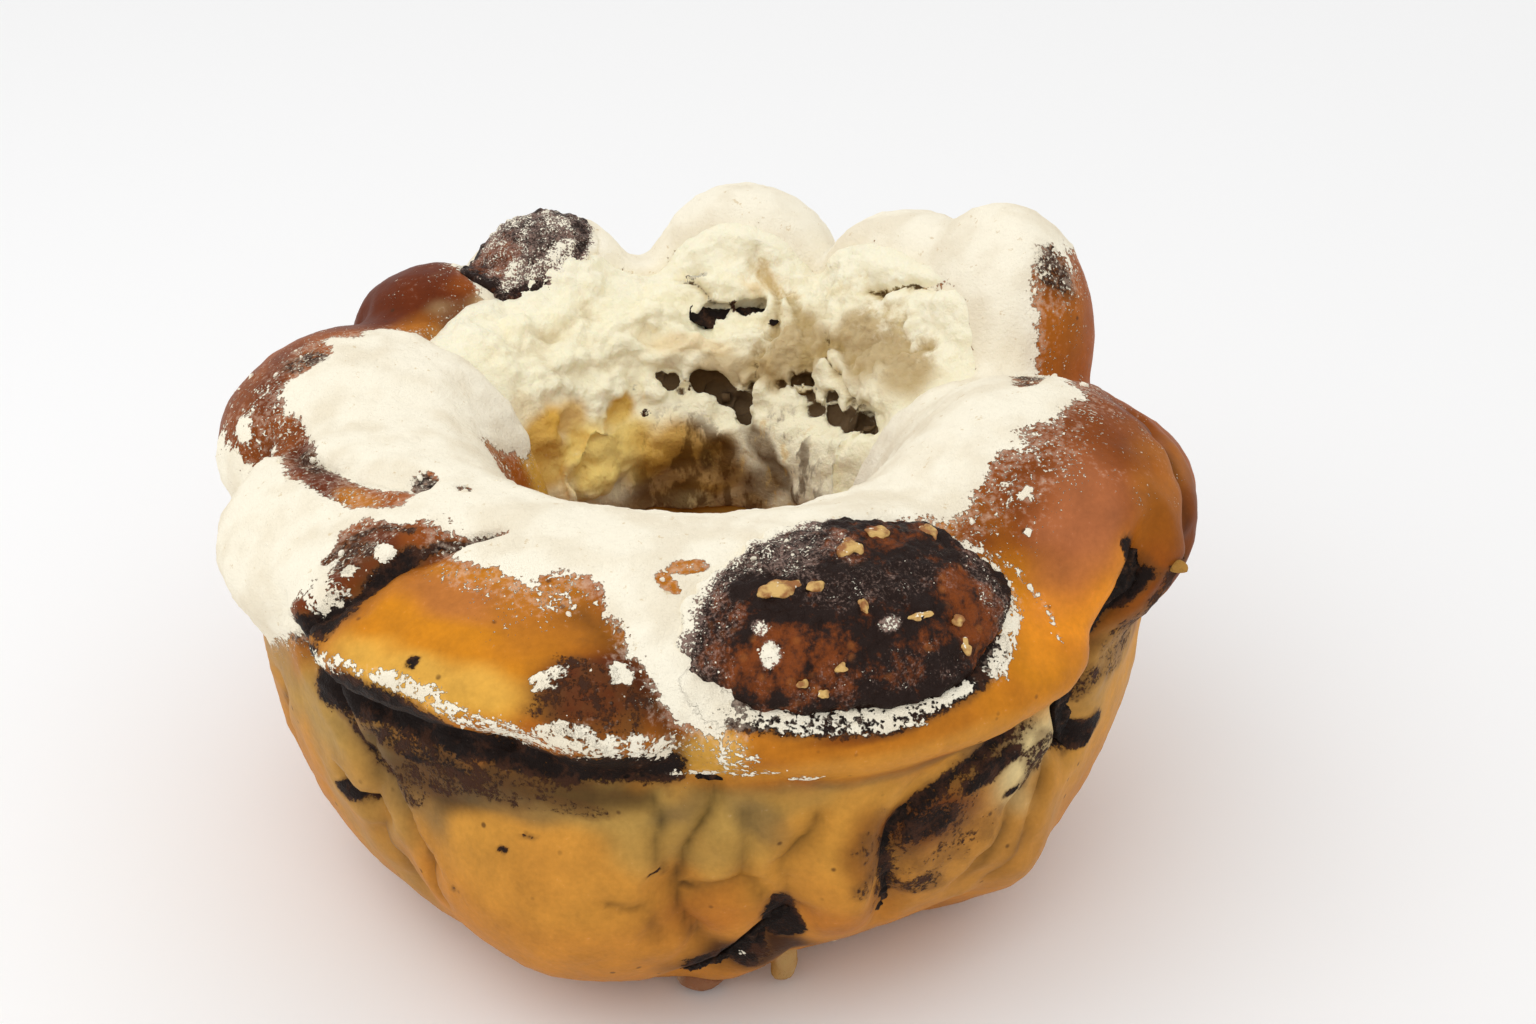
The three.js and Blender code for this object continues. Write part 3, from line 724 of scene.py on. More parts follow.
# Where the sugar begins on the outside and ends towards the hole: azimuth and slant
SUGAR_OUTER = (
    (0, 84), (8, 84), (12, 82), (16, 76), (20, 70), (28, 63), (36, 57), (50, 54), (65, 58), (80, 50),
    (95, 54), (106, 62), (114, 74), (124, 76), (134, 88), (139, 103), (151, 103), (157, 84), (162, 75),
    (166, 66), (176, 63), (181, 66), (185, 69), (187, 60), (189, 34), (195, 16), (203, 14), (208, 22),
    (213, 30), (218, 38), (221, 56), (226, 82), (233, 80), (238, 72), (248, 72), (252, 76), (257, 76),
    (260, 66), (263, 58), (266, 48), (268, 38), (270, 36), (273, 40), (275, 50), (278, 78), (290, 85),
    (300, 85), (306, 82), (311, 80), (315, 80), (321, 80), (328, 79), (336, 77), (347, 76), (354, 78),
    (360, 84),
)
SUGAR_INNER = (
    (0, 170), (12, 166), (18, 150), (40, 140), (120, 140), (150, 142), (166, 142), (174, 138), (180, 132),
    (200, 134), (222, 128), (300, 128), (325, 140), (340, 160), (360, 170),
)
SUGAR_FADE = 7

# How many degrees below the sugar's border fine dust still lies: azimuth and reach
DUST_REACH = (
    (0, 24), (20, 20), (90, 26), (150, 30), (178, 34), (190, 22), (205, 14), (228, 12), (262, 15),
    (272, 24), (310, 24), (322, 30), (345, 28), (360, 24),
)

# Patches with more or less sugar: amount, middle, half sizes, turn
SUGAR_PATCHES = (
    (0.30, (177, 50), (13, 15), 0),
    (0.12, (222, 34), (7, 7), 20),
    (0.33, (168, 70), (4, 8), 0),
    (0.80, (180, 28), (8, 16), 20),
    (0.85, (184.5, 46), (20, 4.5), 68),
    (0.64, (223, 53), (3.4, 8), 0),
    (0.34, (215, 97), (3.4, 4.4), 30),
    (0.36, (224, 100), (2, 2), 0),
    (0.22, (223, 68), (5.5, 11), 20),
    (0.22, (231, 79), (6, 4), 50),
    (0.85, (226, 70), (1.6, 2.6), 0),
    (0.90, (224, 61), (1.0, 2.2), 0),
    (0.70, (177, 52), (1.8, 3.0), 0),
    (0.62, (183, 60), (1.4, 2.6), 0),
    (0.32, (240, 70), (9, 5), 0),
    (0.34, (254, 71), (5, 7), 0),
    (0.20, (260, 45), (5.5, 11), 0),
    (0.66, (262, 52), (1.4, 2.6), 0),
    (0.60, (257, 37), (3, 2.4), 0),
    (0.60, (255, 49), (1.6, 4), -20),
    (0.10, (266.5, 77), (1.4, 4), 20),
    (0.26, (269, 82), (3.0, 2.2), 30),
    (0.40, (350, 88), (8, 4.4), 0),
    (0.33, (322, 74), (11, 6), 0),
    (0.80, (319, 72), (0.9, 1.7), 0),
    (0.72, (316, 66), (0.8, 1.4), 0),
    (0.36, (14, 78), (3.5, 5), 0),
    (0.33, (348, 71), (5, 4), 0),
    (0.66, (270, 25), (3.0, 1.6), 0),
    (0.66, (281, 22), (2.0, 1.4), 0),
    (0.60, (276, 24.5), (2.4, 1.4), 0),
    (0.48, (274, 31), (2.4, 6), 0),
    (0.38, (187, 139), (8, 6), 0),
    (0.46, (273, -66), (3.4, 1.6), 20),
    (0.04, (145, 78), (8, 20), 0),
)
# Lines with more or less sugar: amount, route, half width in millimetres
SUGAR_LINES = (
    (0.66, ((272, 44), (278, 42), (283, 39), (289, 37), (294, 36), (299, 38)), 1.8),
    (0.55, ((275, 40), (281, 36), (287, 34), (293, 33)), 1.5),
    (0.62, ((303, 40), (306, 45), (309, 52), (309, 60), (309, 70), (304, 82)), 3.2),
    (0.46, ((313, 38), (314, 46), (313, 56), (311, 66)), 1.4),
    (0.54, ((218, 33), (226, 37), (232, 39), (239, 40)), 2.0),
    (0.60, ((239, 40), (243, 39), (247, 36), (252, 34), (258, 33), (264, 34), (267, 35)), 2.6),
    (0.05, ((230, 74), (234, 82), (239, 89)), 1.8),
    (0.05, ((230, 74), (229, 64), (228.5, 54), (226, 45), (220, 35), (214, 28)), 2.8),
    (0.10, ((182, 67), (189, 71), (198, 72), (206, 78), (212, 81), (217, 86)), 4.0),
    (0.05, ((219, 60), (219, 69), (221, 76), (227, 79)), 1.6),
)


def round_ring(azimuth, stops):
    """A value between stops that are given by azimuth."""
    return np.interp(azimuth % 360, *np.array(stops).T)


def sugar_amount(azimuth, slant, radius, depth, point):
    """How much icing sugar fell on each place, 0 to 1."""
    uneven = wander(point, 16, 11)
    behind = smooth_step(16, 40, azimuth) * smooth_step(156, 130, azimuth)
    outer = round_ring(azimuth, SUGAR_OUTER) + 3 * uneven + 9 * behind * wander(point, 30, 12)
    inner = round_ring(azimuth, SUGAR_INNER) + 3 * uneven
    amount = 0.5 + np.minimum(slant - outer, inner - slant) / (2 * SUGAR_FADE)
    amount = np.clip(amount, 0, 1)
    for value, middle, half, turn in SUGAR_PATCHES:
        share = patch(azimuth, slant, middle, half, turn, 0.35, 0.15 * uneven)
        amount = amount * (1 - share) + value * share
    for value, route, width in SUGAR_LINES:
        share = line(azimuth, slant, radius, depth, route, width)
        amount = amount * (1 - share) + value * share
    return amount * (1 - torn_share(azimuth, slant))


def dust_amount(azimuth, slant, point):
    """How much fine dust fell on each place, 0 to 1."""
    outer = round_ring(azimuth, SUGAR_OUTER)
    inner = round_ring(azimuth, SUGAR_INNER)
    reach = round_ring(azimuth, DUST_REACH) * (1 + 0.35 * wander(point, 24, 13))
    return np.clip(1 - np.maximum(outer - slant, slant - inner) / reach, 0, 1)


# Chocolate that stains the dough: amount, middle, half sizes, turn
STAIN_PATCHES = (
    (1.00, (83, 115), (5, 4), 0),
    (1.00, (75, 139), (26, 6), 0),
    (1.00, (28, 137), (8, 7), 0),
    (0.80, (221.5, 37), (7, 9), 20),
    (0.80, (226, 47), (3.4, 9), -10),
    (0.60, (236, 16), (8, 8), 0),
    (0.50, (232, -3), (5, 12), 12),
    (0.52, (240, 5), (9, 8), 0),
    (0.44, (252, 8), (10, 5), 0),
    (0.52, (244, 14), (9, 5), 0),
    (0.40, (252, 16), (7, 4), 0),
    (0.26, (262, 17), (8, 4), 0),
    (0.46, (260, 44), (6, 12), 0),
    (1.00, (222.5, -31), (4.2, 4.2), -14),
    (1.00, (236, 11), (1.2, 1.6), 0),
    (0.90, (227, 1), (1.0, 3), 0),
    (0.68, (296, -11), (4.4, 9), 0),
    (0.46, (297, -14), (6, 12), 0),
    (0.36, (299, -20), (8, 20), 0),
    (0.40, (289.5, -18), (3, 16), 0),
    (0.80, (305, 1), (3.4, 6), -30),
    (1.00, (308, -13), (0.9, 1.3), 0),
    (0.56, (297, -42), (6, 5), 0),
    (0.50, (320, 14), (5, 9), 0),
    (1.00, (325.5, 42), (2.4, 8), 0),
    (1.00, (319.5, 27), (2.0, 6), 0),
    (0.44, (329, 20), (6, 14), 0),
    (1.00, (317, 10), (1.4, 11), 0),
    (0.90, (321, -10), (4.5, 8), 20),
    (0.56, (313, -4), (4, 14), 0),
    (1.00, (279.5, -47), (2.6, 10), 0),
    (0.90, (274, -63), (6, 6), 0),
    (0.90, (240, 45), (0.6, 1.6), 0),
    (0.52, (251, -8), (1.2, 1.6), 0),
    (0.80, (248, -15), (0.5, 0.9), 0),
    (0.80, (265, -20), (0.6, 1.1), 0),
    (0.80, (241, -38), (0.5, 1.0), 0),
    (0.80, (272, -9), (0.4, 0.8), 0),
    (0.56, (169, 71), (3, 7), 0),
    (0.70, (215, 97), (3, 4), 30),
    (0.62, (224, 100), (2, 2), 0),
    (0.50, (194, 73), (8, 3.4), 20),
    (0.62, (350, 88), (8, 4.4), 0),
    (0.50, (222, 66), (4, 8), 0),
    (0.60, (15, 77), (2.6, 5), 0),
    (0.56, (332, 32), (6, 6), 0),
    (0.62, (60, 20), (6, 8), 30),
    (0.66, (100, -6), (5, 9), 0),
    (0.62, (120, 24), (8, 4), 10),
    (0.62, (187, -10), (3, 9), 10),
)
# Lines of stain: amount, route, half width in millimetres
STAIN_LINES = (
    (0.80, ((229, 73), (228, 64), (227.5, 54), (225, 45), (220, 36)), 2.6),
    (0.66, ((229, 72), (232, 80), (238, 89)), 1.5),
    (0.56, ((219, 60), (219, 69), (221, 76), (227, 79)), 1.5),
    (1.00, ((221, 24), (225, 27), (232, 31), (238, 31), (243, 28)), 5.6),
    (0.84, ((242, 28), (248, 26), (255, 24), (262, 27), (267, 28)), 4.0),
    (0.62, ((222, 22), (226, 6), (228, -6)), 2.0),
    (0.72, ((308, 14), (304, 10), (300, 5), (296, -3), (293, -9), (291, -18), (292, -38)), 2.2),
    # Painted shade: a wide soft brown band along the front right crease
    (0.44, ((309, 13), (304, 6), (299, -1), (295, -8), (292, -20), (292, -40)), 6.0),
    (0.95, ((323, 36), (319, 24), (317, 12), (317, -4)), 2.0),
    (0.72, ((142, 24), (138, 2), (139, -20)), 3.0),
    (0.86, ((270, 51), (272, 45), (276, 41), (281, 38.5), (290, 35.5), (300, 39.5), (304, 45)), 3.6),
)


def strongest_patch(azimuth, slant, patches, soft, uneven):
    """The amount of the strongest patch that lies on each place, or 0."""
    amount = np.zeros(azimuth.shape)
    for value, middle, half, turn in patches:
        amount = np.maximum(amount, value * patch(azimuth, slant, middle, half, turn, soft, uneven))
    return amount


def stain_amount(azimuth, slant, radius, depth, point):
    """How much chocolate shows on each place of the dough, 0 to 1, and a band of painted shade along one
    crease.
    """
    amount = strongest_patch(azimuth, slant, STAIN_PATCHES, 0.4, 0.22 * wander(point, 9, 21))
    for value, route, width in STAIN_LINES:
        amount = np.maximum(amount, value * line(azimuth, slant, radius, depth, route, width))
    return amount


class Wire:
    """A socket of a node tree. Sums, products and powers of it add Math nodes."""

    def __init__(self, nodes, socket):
        self.nodes = nodes
        self.socket = socket

    def math(self, operation, *values):
        inputs = {i: value for i, value in enumerate((self, *values))}
        return self.nodes.add("ShaderNodeMath", {"operation": operation}, inputs)

    def __add__(self, other):
        return self.math("ADD", other)

    def __radd__(self, other):
        return self.math("ADD", other)

    def __sub__(self, other):
        return self.math("SUBTRACT", other)

    def __rsub__(self, other):
        return (self * -1).math("ADD", other)

    def __mul__(self, other):
        return self.math("MULTIPLY", other)

    def __rmul__(self, other):
        return self.math("MULTIPLY", other)

    def soft_step(self, low, high):
        """0 below low, 1 above high, and a smooth way between."""
        inputs = {"Value": self, "From Min": low, "From Max": high}
        return self.nodes.add("ShaderNodeMapRange", {"interpolation_type": "SMOOTHSTEP"}, inputs)


class Nodes:
    """A node tree that is being built."""

    def __init__(self, tree):
        self.tree = tree

    def add(self, kind, settings=None, inputs=None, output=0):
        node = self.tree.nodes.new(kind)
        for name, value in (settings or {}).items():
            setattr(node, name, value)
        for name, value in (inputs or {}).items():
            if isinstance(value, Wire):
                self.tree.links.new(value.socket, node.inputs[name])
            else:
                node.inputs[name].default_value = value
        return Wire(self, node.outputs[output])

    def noise(self, place, size, detail=2.0, roughness=0.5, stretch=None):
        """Cloudy noise, about 0.3 to 0.7, in lumps of that many millimetres."""
        if stretch:
            settings = {"operation": "MULTIPLY"}
            place = self.add("ShaderNodeVectorMath", settings, {0: place, 1: stretch})
        inputs = {"Vector": place, "Scale": 1 / (size * MM), "Detail": detail, "Roughness": roughness}
        return self.add("ShaderNodeTexNoise", None, inputs)

    def uneven(self, *cloud):
        """The same cloudy noise round zero, about -0.2 to 0.2."""
        return self.noise(*cloud) - 0.5

    def cells(self, place, size):
        """Distance to scattered points, that many millimetres apart."""
        return self.add("ShaderNodeTexVoronoi", None, {"Vector": place, "Scale": 1 / (size * MM)})

    def scaled(self, vector, factor):
        """A vector or a colour, made longer or shorter."""
        return self.add("ShaderNodeVectorMath", {"operation": "SCALE"}, {0: vector, "Scale": factor})

    def mix(self, share, first, second):
        """One colour blended into another."""
        inputs = {0: share, 6: first, 7: second}
        return self.add("ShaderNodeMix", {"data_type": "RGBA"}, inputs, 2)

    def colour(self, red, green, blue):
        return (*linear(red, green, blue), 1)


def sugar_cover(nodes, place, amount):
    """Where sugar lies: the fallen amount broken up into islands and specks."""
    islands = nodes.uneven(place, 6, 3, 0.6)
    clumps = nodes.uneven(place, 2.0, 2, 0.6)
    specks = nodes.uneven(place, 0.8, 1)
    return (amount + islands * 0.7 + clumps * 0.9 + specks * 0.6).soft_step(0.46, 0.56)


def dust_specks(nodes, place, amount):
    """Fine grains of sugar, closer together where more dust fell."""
    specks = nodes.noise(place, 0.7, 2)
    clouds = nodes.uneven(place, 7, 4, 0.6)
    return (specks + amount * 0.13 + clouds * 0.4).soft_step(0.73, 0.8) * amount.soft_step(0.0, 0.15)


def sugar_layer(nodes, place, amount):
    """How thick the sugar lies, without the specks that are too small for the mesh."""
    islands = nodes.uneven(place, 6, 3, 0.6)
    return (amount + islands * 0.6).soft_step(0.42, 0.85)


def stain_cover(nodes, place, amount):
    """Where chocolate shows, with an uneven edge."""
    islands = nodes.uneven(place, 4, 5, 0.7)
    specks = nodes.uneven(place, 0.9, 2, 0.6)
    return (amount + islands * 1.1 + specks * 0.7).soft_step(0.42, 0.62)


def stain_halo(nodes, place, amount):
    """How far chocolate tinted the dough round what shows of it."""
    clouds = nodes.uneven(place, 6, 4, 0.65)
    return (amount + clouds).soft_step(0.1, 0.6)


def new_relief(name, inputs):
    """An empty geometry tree with a geometry input and named numbers."""
    tree = bpy.data.node_groups.new(name, "GeometryNodeTree")
    tree.interface.new_socket("Geometry", in_out="INPUT", socket_type="NodeSocketGeometry")
    tree.interface.new_socket("Geometry", in_out="OUTPUT", socket_type="NodeSocketGeometry")
    for label, value in inputs.items():
        socket = tree.interface.new_socket(label, in_out="INPUT", socket_type="NodeSocketFloat")
        socket.default_value = value
    nodes = Nodes(tree)
    group = tree.nodes.new("NodeGroupInput")
    given = {socket.name: Wire(nodes, socket) for socket in group.outputs if socket.name}
    return nodes, given


def close_relief(nodes, geometry, finish):
    """Ends a tree with real geometry that has its material."""
    real = nodes.add("GeometryNodeRealizeInstances", None, {"Geometry": geometry})
    painted = nodes.add("GeometryNodeSetMaterial", None, {"Geometry": real, "Material": finish})
    group = nodes.tree.nodes.new("NodeGroupOutput")
    nodes.tree.links.new(painted.socket, group.inputs["Geometry"])
    return nodes.tree


def kept_number(nodes, name):
    """A number that was stored on the mesh, for a geometry tree."""
    return nodes.add("GeometryNodeInputNamedAttribute", {"data_type": "FLOAT"}, {"Name": name})


def lift_along_normal(nodes, geometry, height):
    """Moves each point out along its normal, by millimetres."""
    offset = nodes.scaled(nodes.add("GeometryNodeInputNormal"), height * MM)
    return nodes.add("GeometryNodeSetPosition", None, {"Geometry": geometry, "Offset": offset})


def keep(nodes, geometry, name, value, data_type="FLOAT"):
    """Stores a value for each point, for the material."""
    settings = {"data_type": data_type, "domain": "POINT"}
    inputs = {"Geometry": geometry, "Name": name, "Value": value}
    return nodes.add("GeometryNodeStoreNamedAttribute", settings, inputs)


def keep_place(nodes, geometry):
    """Stores where each point was before it was lifted, for patterns that follow the surface."""
    place = nodes.add("GeometryNodeInputPosition")
    return keep(nodes, geometry, "rest_place", place, "FLOAT_VECTOR"), place


def crust_relief(finish):
    """The dough's skin: soft swells, rough chocolate and a layer of sugar."""
    sizes = {"Swell Height": 0.9, "Pore Height": 0.25, "Stain Height": 1.1}
    sizes |= {"Sugar Thickness": 0.9, "Sugar Lumps": 0.9}
    nodes, given = new_relief("crust_relief", sizes)
    geometry, place = keep_place(nodes, given["Geometry"])
    skin = kept_number(nodes, "skin")
    sugar = sugar_layer(nodes, place, kept_number(nodes, "sugar"))
    stain = stain_cover(nodes, place, kept_number(nodes, "stain"))
    swell = nodes.uneven(place, 17, 2) * given["Swell Height"] * 2
    pores = nodes.uneven(place, 3.5, 2) * given["Pore Height"] * 2
    rough = (nodes.noise(place, 2.6, 3, 0.6) - 0.55) * given["Stain Height"] * 2 * stain
    lumps = (nodes.noise(place, 4.5, 3, 0.55) - 0.45) * given["Sugar Lumps"] * 2
    layer = sugar * (given["Sugar Thickness"] * 0.5 + lumps)
    height = skin * (swell + pores + rough + layer)
    return close_relief(nodes, lift_along_normal(nodes, geometry, height), finish)


def run_nodes(piece, tree, values=None):
    """Applies a geometry tree to a piece and leaves a plain mesh."""
    modifier = piece.modifiers.new(tree.name, "NODES")
    modifier.node_group = tree
    for item in tree.interface.items_tree:
        if item.in_out == "INPUT" and item.socket_type == "NodeSocketFloat":
            modifier[item.identifier] = (values or {}).get(item.name, item.default_value)
    apply_modifiers(piece)


def apply_modifiers(piece):
    """Replaces a piece's mesh with what its modifiers make of it."""
    bpy.context.view_layer.update()
    graph = bpy.context.evaluated_depsgraph_get()
    finished = bpy.data.meshes.new_from_object(
        piece.evaluated_get(graph), preserve_all_data_layers=True, depsgraph=graph)
    piece.modifiers.clear()
    piece.data = finished


def stay_in_box(mesh):
    """Keeps every vertex inside the box of the solids."""
    places = np.empty(len(mesh.vertices) * 3)
    mesh.vertices.foreach_get("co", places)
    places = np.clip(places.reshape(-1, 3), np.array(CAD_BOX[0]), np.array(CAD_BOX[1]))
    mesh.vertices.foreach_set("co", places.ravel())
    mesh.update()


def shader(name):
    """A new material, its nodes and a function that sets the surface shader's sockets."""
    finish = bpy.data.materials.new(name)
    finish.use_nodes = True
    nodes = Nodes(finish.node_tree)
    surface = finish.node_tree.nodes["Principled BSDF"]

    def put(**sockets):
        for label, value in sockets.items():
            socket = surface.inputs[label.replace("_", " ")]
            if isinstance(value, Wire):
                finish.node_tree.links.new(value.socket, socket)
            else:
                socket.default_value = value

    return finish, nodes, put


def stored(nodes, name, output="Fac"):
    """A value that was stored on the mesh, for a material."""
    node = nodes.tree.nodes.new("ShaderNodeAttribute")
    node.attribute_name = name
    return Wire(nodes, node.outputs[output])


def bump(nodes, height, millimetres, below=None):
    """A bumped normal from a height of 0 to 1 that stands for that many millimetres."""
    inputs = {"Height": height, "Distance": millimetres * MM, "Strength": 1.0}
    if below is not None:
        inputs["Normal"] = below
    return nodes.add("ShaderNodeBump", None, inputs)


# Colours of what lies on the crust, and of the shade painted into the sugar's pits, as red, green and blue
# to the eye
SUGAR_WHITE = (251, 243, 222)
SUGAR_SHADE = (240, 229, 205)
SUGAR_PIT_SHADE = (214, 190, 148)
CHOCOLATE_BLACK = (28, 18, 14)
CHOCOLATE_BROWN = (64, 38, 24)
PORE_BROWN = (70, 40, 18)
STAIN_HALO = (96, 62, 30)
DUST_HAZE = (226, 202, 180)


def sugar_colour(nodes, place):
    """Icing sugar, a little creamy where it drew moisture, with painted shade in small pits."""
    share = nodes.noise(place, 14, 3).soft_step(0.4, 0.65)
    colour = nodes.mix(share, nodes.colour(*SUGAR_WHITE), nodes.colour(*SUGAR_SHADE))
    pit_shade = nodes.noise(place, 2.6, 3, 0.7).soft_step(0.36, 0.28)
    return nodes.mix(pit_shade * 0.6, colour, nodes.colour(*SUGAR_PIT_SHADE))


def chocolate_colour(nodes, place, amount):
    """Baked chocolate filling, from red brown where it is thin to near black."""
    share = (nodes.noise(place, 4, 5, 0.7) + (0.8 - amount) * 0.3).soft_step(0.46, 0.66)
    return nodes.mix(share, nodes.colour(*CHOCOLATE_BLACK), nodes.colour(*CHOCOLATE_BROWN))


def babka_finish():
    """Baked skin with chocolate stains under icing sugar."""
    finish, nodes, put = shader("baked_dough")
    place = stored(nodes, "rest_place", "Vector")
    sugar = stored(nodes, "sugar")
    stain = stored(nodes, "stain")
    crust = stored(nodes, "crust", "Color")
    fallen = stored(nodes, "dust")
    cover = sugar_cover(nodes, place, sugar).math("MAXIMUM", dust_specks(nodes, place, fallen) * 0.8)
    dark = stain_cover(nodes, place, stain)
    mottle = nodes.noise(place, 9, 4, 0.6)
    fine = nodes.noise(place, 1.4, 3, 0.6)
    tone = mottle * 0.7 + fine * 0.35 + 0.5
    toned = nodes.scaled(crust, tone)
    pores = nodes.cells(place, 5.5).soft_step(0.16, 0.06) * nodes.noise(place, 12).soft_step(0.5, 0.6)
    toned = nodes.mix(pores * 0.75, toned, nodes.colour(*PORE_BROWN))
    toned = nodes.mix(stain_halo(nodes, place, stain) * 0.6, toned, nodes.colour(*STAIN_HALO))
    baked = nodes.mix(dark, toned, chocolate_colour(nodes, place, stain))
    haze = fallen * 0.5 + sugar * 0.8 + (mottle - 0.5) * 1.2 + (fine - 0.5) * 2.4
    dust = haze.soft_step(0.45, 1.3) * 0.42
    dusted = nodes.mix(dust, baked, nodes.colour(*DUST_HAZE))
    put(Base_Color=nodes.mix(cover, dusted, sugar_colour(nodes, place)))
    gloss = mottle * 0.3 + 0.34 + dark * 0.1
    put(Roughness=gloss + (0.92 - gloss) * (cover + dust).math("MINIMUM", 1))
    grains = nodes.noise(place, 0.9, 3, 0.7) * cover
    skin_grain = nodes.noise(place, 2.2, 3, 0.6) * 0.25 + dark * nodes.noise(place, 1.2, 3, 0.7)
    height = grains + skin_grain + cover * 0.5
    put(Normal=bump(nodes, height, 0.55))
    put(Specular_IOR_Level=0.1)
    return finish


def colour_dough(mesh, azimuth, slant, point):
    """Stores on each vertex how it browned, with painted shade and light, and what lies on it."""
    radius = np.hypot(point[:, 0], point[:, 1])
    depth = np.hypot(radius - CORE_RADIUS, point[:, 2] - CORE_HEIGHT)
    store(mesh, "crust", crust_colour(azimuth, slant, point))
    store(mesh, "sugar", sugar_amount(azimuth, slant, radius, depth, point))
    store(mesh, "stain", stain_amount(azimuth, slant, radius, depth, point))
    store(mesh, "dust", dust_amount(azimuth, slant, point))
    store(mesh, "skin", smooth_step(0.4, 6, point[:, 2]))


azimuths, slants = np.meshgrid(np.arange(AROUND) * 360 / AROUND, even_slants(), indexing="ij")
skin_points, skin_ways = dough_skin(azimuths, slants)
pressed = TORN_DEEP * torn_share(azimuths, slants)
for middle, half in BARE_CHOCOLATE.values():
    pressed = np.maximum(pressed, BARE_DEEP * patch(azimuths, slants, middle, half, 0, 0.15))
skin_points -= skin_ways * pressed[..., None]
dough_mesh = make_mesh("dough_ring", skin_points, grid_faces(AROUND, SECTION))
colour_dough(dough_mesh, azimuths.ravel(), slants.ravel(), skin_points.reshape(-1, 3))
dough = link_object("dough_ring", dough_mesh)
run_nodes(dough, crust_relief(babka_finish()))
stay_in_box(dough.data)
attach(dough, "root")
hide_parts("babka_dough")

# Torn crumb: where the cake came away from the pan's tube, its far inner wall tore open.
# The wall is bare billowy crumb, and the tube's skin stands off it as a ragged collar.

# How far the wall stands out, dives under the skin at its edges, sinks in the collar's gaps, and
# reaches inwards
WALL_PROUD = 1.6
WALL_SUNK = 2.4
WALL_BEHIND_COLLAR = 6
WALL_BACK = 14
WALL_STEPS = (150, 70)

# Pits torn into the wall: depth, middle, half sizes
PITS = ((7, (84, 115.5), (2.4, 1.6)), (4, (73, 112), (3.5, 2)))

# The collar's ragged upper edge, as azimuth and slant
COLLAR_EDGE = (
    (12, 164), (18, 148), (21, 138), (24, 137), (28, 140), (33, 143), (37, 141), (40, 137), (45, 135),
    (51, 134), (57, 135), (61, 138), (65, 145), (68, 151), (71, 151), (75, 146), (79, 142), (84, 141),
    (89, 138), (93, 136), (98, 138), (103, 139), (108, 142), (114, 145), (120, 149), (128, 150), (137, 151),
    (144, 154), (152, 164),
)
# Where the collar stands clear of the wall: middle azimuth, half width, and by how many degrees of
# slant the gap reaches past the collar's edge
COLLAR_GAPS = ((101, 4, 0), (88, 4, -2), (70, 4, 2.5), (57, 6, -0.5), (37, 5, -1), (27, 3.5, 4))
# How far the collar stands out at its edge and low down, how thick it is there, and where it ends
COLLAR_PROUD = (5.0, 1.2)
COLLAR_THICK = (3.0, 7.0)
COLLAR_LOW = 184
COLLAR_STEPS = (150, 26)

# Lumps of crumb: azimuth, radius, height, half sizes along, across and up
CRUMB_LUMPS = (
    (134, 45, 78, 11, 8, 10), (118, 46, 84, 10, 9, 9), (103, 48, 88, 12, 9, 9), (88, 47, 86, 9, 8, 10),
    (58, 48, 87, 11, 9, 12), (46, 48, 84, 11, 9, 12), (33, 49, 85, 11, 10, 10), (101, 56, 112, 8, 4, 5),
    (283, 86, 10, 3.4, 4.4, 8.4), (270, 83, 4, 6.2, 5.2, 3.2), (331, 124.6, 99, 1.8, 3.2, 1.6),
)
# How many small lumps bud from each lump that is bigger than a least half size, and their half sizes
SMALL_LUMPS = 5
BUDDING_SIZE = 4.5
SMALL_LUMP_SIZE = (3.0, 5.6)
# The voxels that fuse wall, collar and lumps
CRUMB_VOXEL = 0.8

# Cracks in the torn wall: route as azimuth and slant, half width, depth
CRUMB_CRACKS = (
    (((44, 105), (40, 104), (36, 102), (29, 98), (21, 95), (17, 93)), 1.0, 3.4),
    (((92, 106), (88, 109), (83, 114), (77, 114), (72, 111)), 1.2, 3.2),
    (((93, 104), (85, 106)), 1.0, 2.6),
    (((74, 104), (67, 106), (60, 114), (54, 122), (51, 133)), 2.4, 2.2),
    (((68, 107), (66, 118), (68, 128), (74, 137)), 2.0, 2.4),
    (((50, 118), (46, 124), (40, 127), (31, 133)), 1.3, 3.2),
    (((70, 128), (68, 136), (71, 144)), 1.2, 3.2),
    (((48, 120), (42, 120), (34, 124)), 1.6, 2.6),
    (((110, 122), (98, 126), (88, 128), (80, 126)), 2.2, 1.3),
    (((140, 112), (128, 116), (116, 113)), 2.2, 1.2),
    (((136, 128), (124, 132), (112, 130)), 2.2, 1.2),
    (((26, 112), (20, 106)), 1.6, 2),
)

# Colours of the torn crumb, of the tube's skin, of what lies on them, and of the shade painted in hollows,
# cracks and gaps
CRUMB_CREAM = (252, 243, 211)
CRUMB_SUGAR = (252, 244, 217)
HOLLOW_SHADE = (186, 158, 98)
CRACK_AND_GAP_SHADE = (78, 52, 22)
TUBE_DARK = (88, 54, 12)
TUBE_PALE = (232, 190, 104)

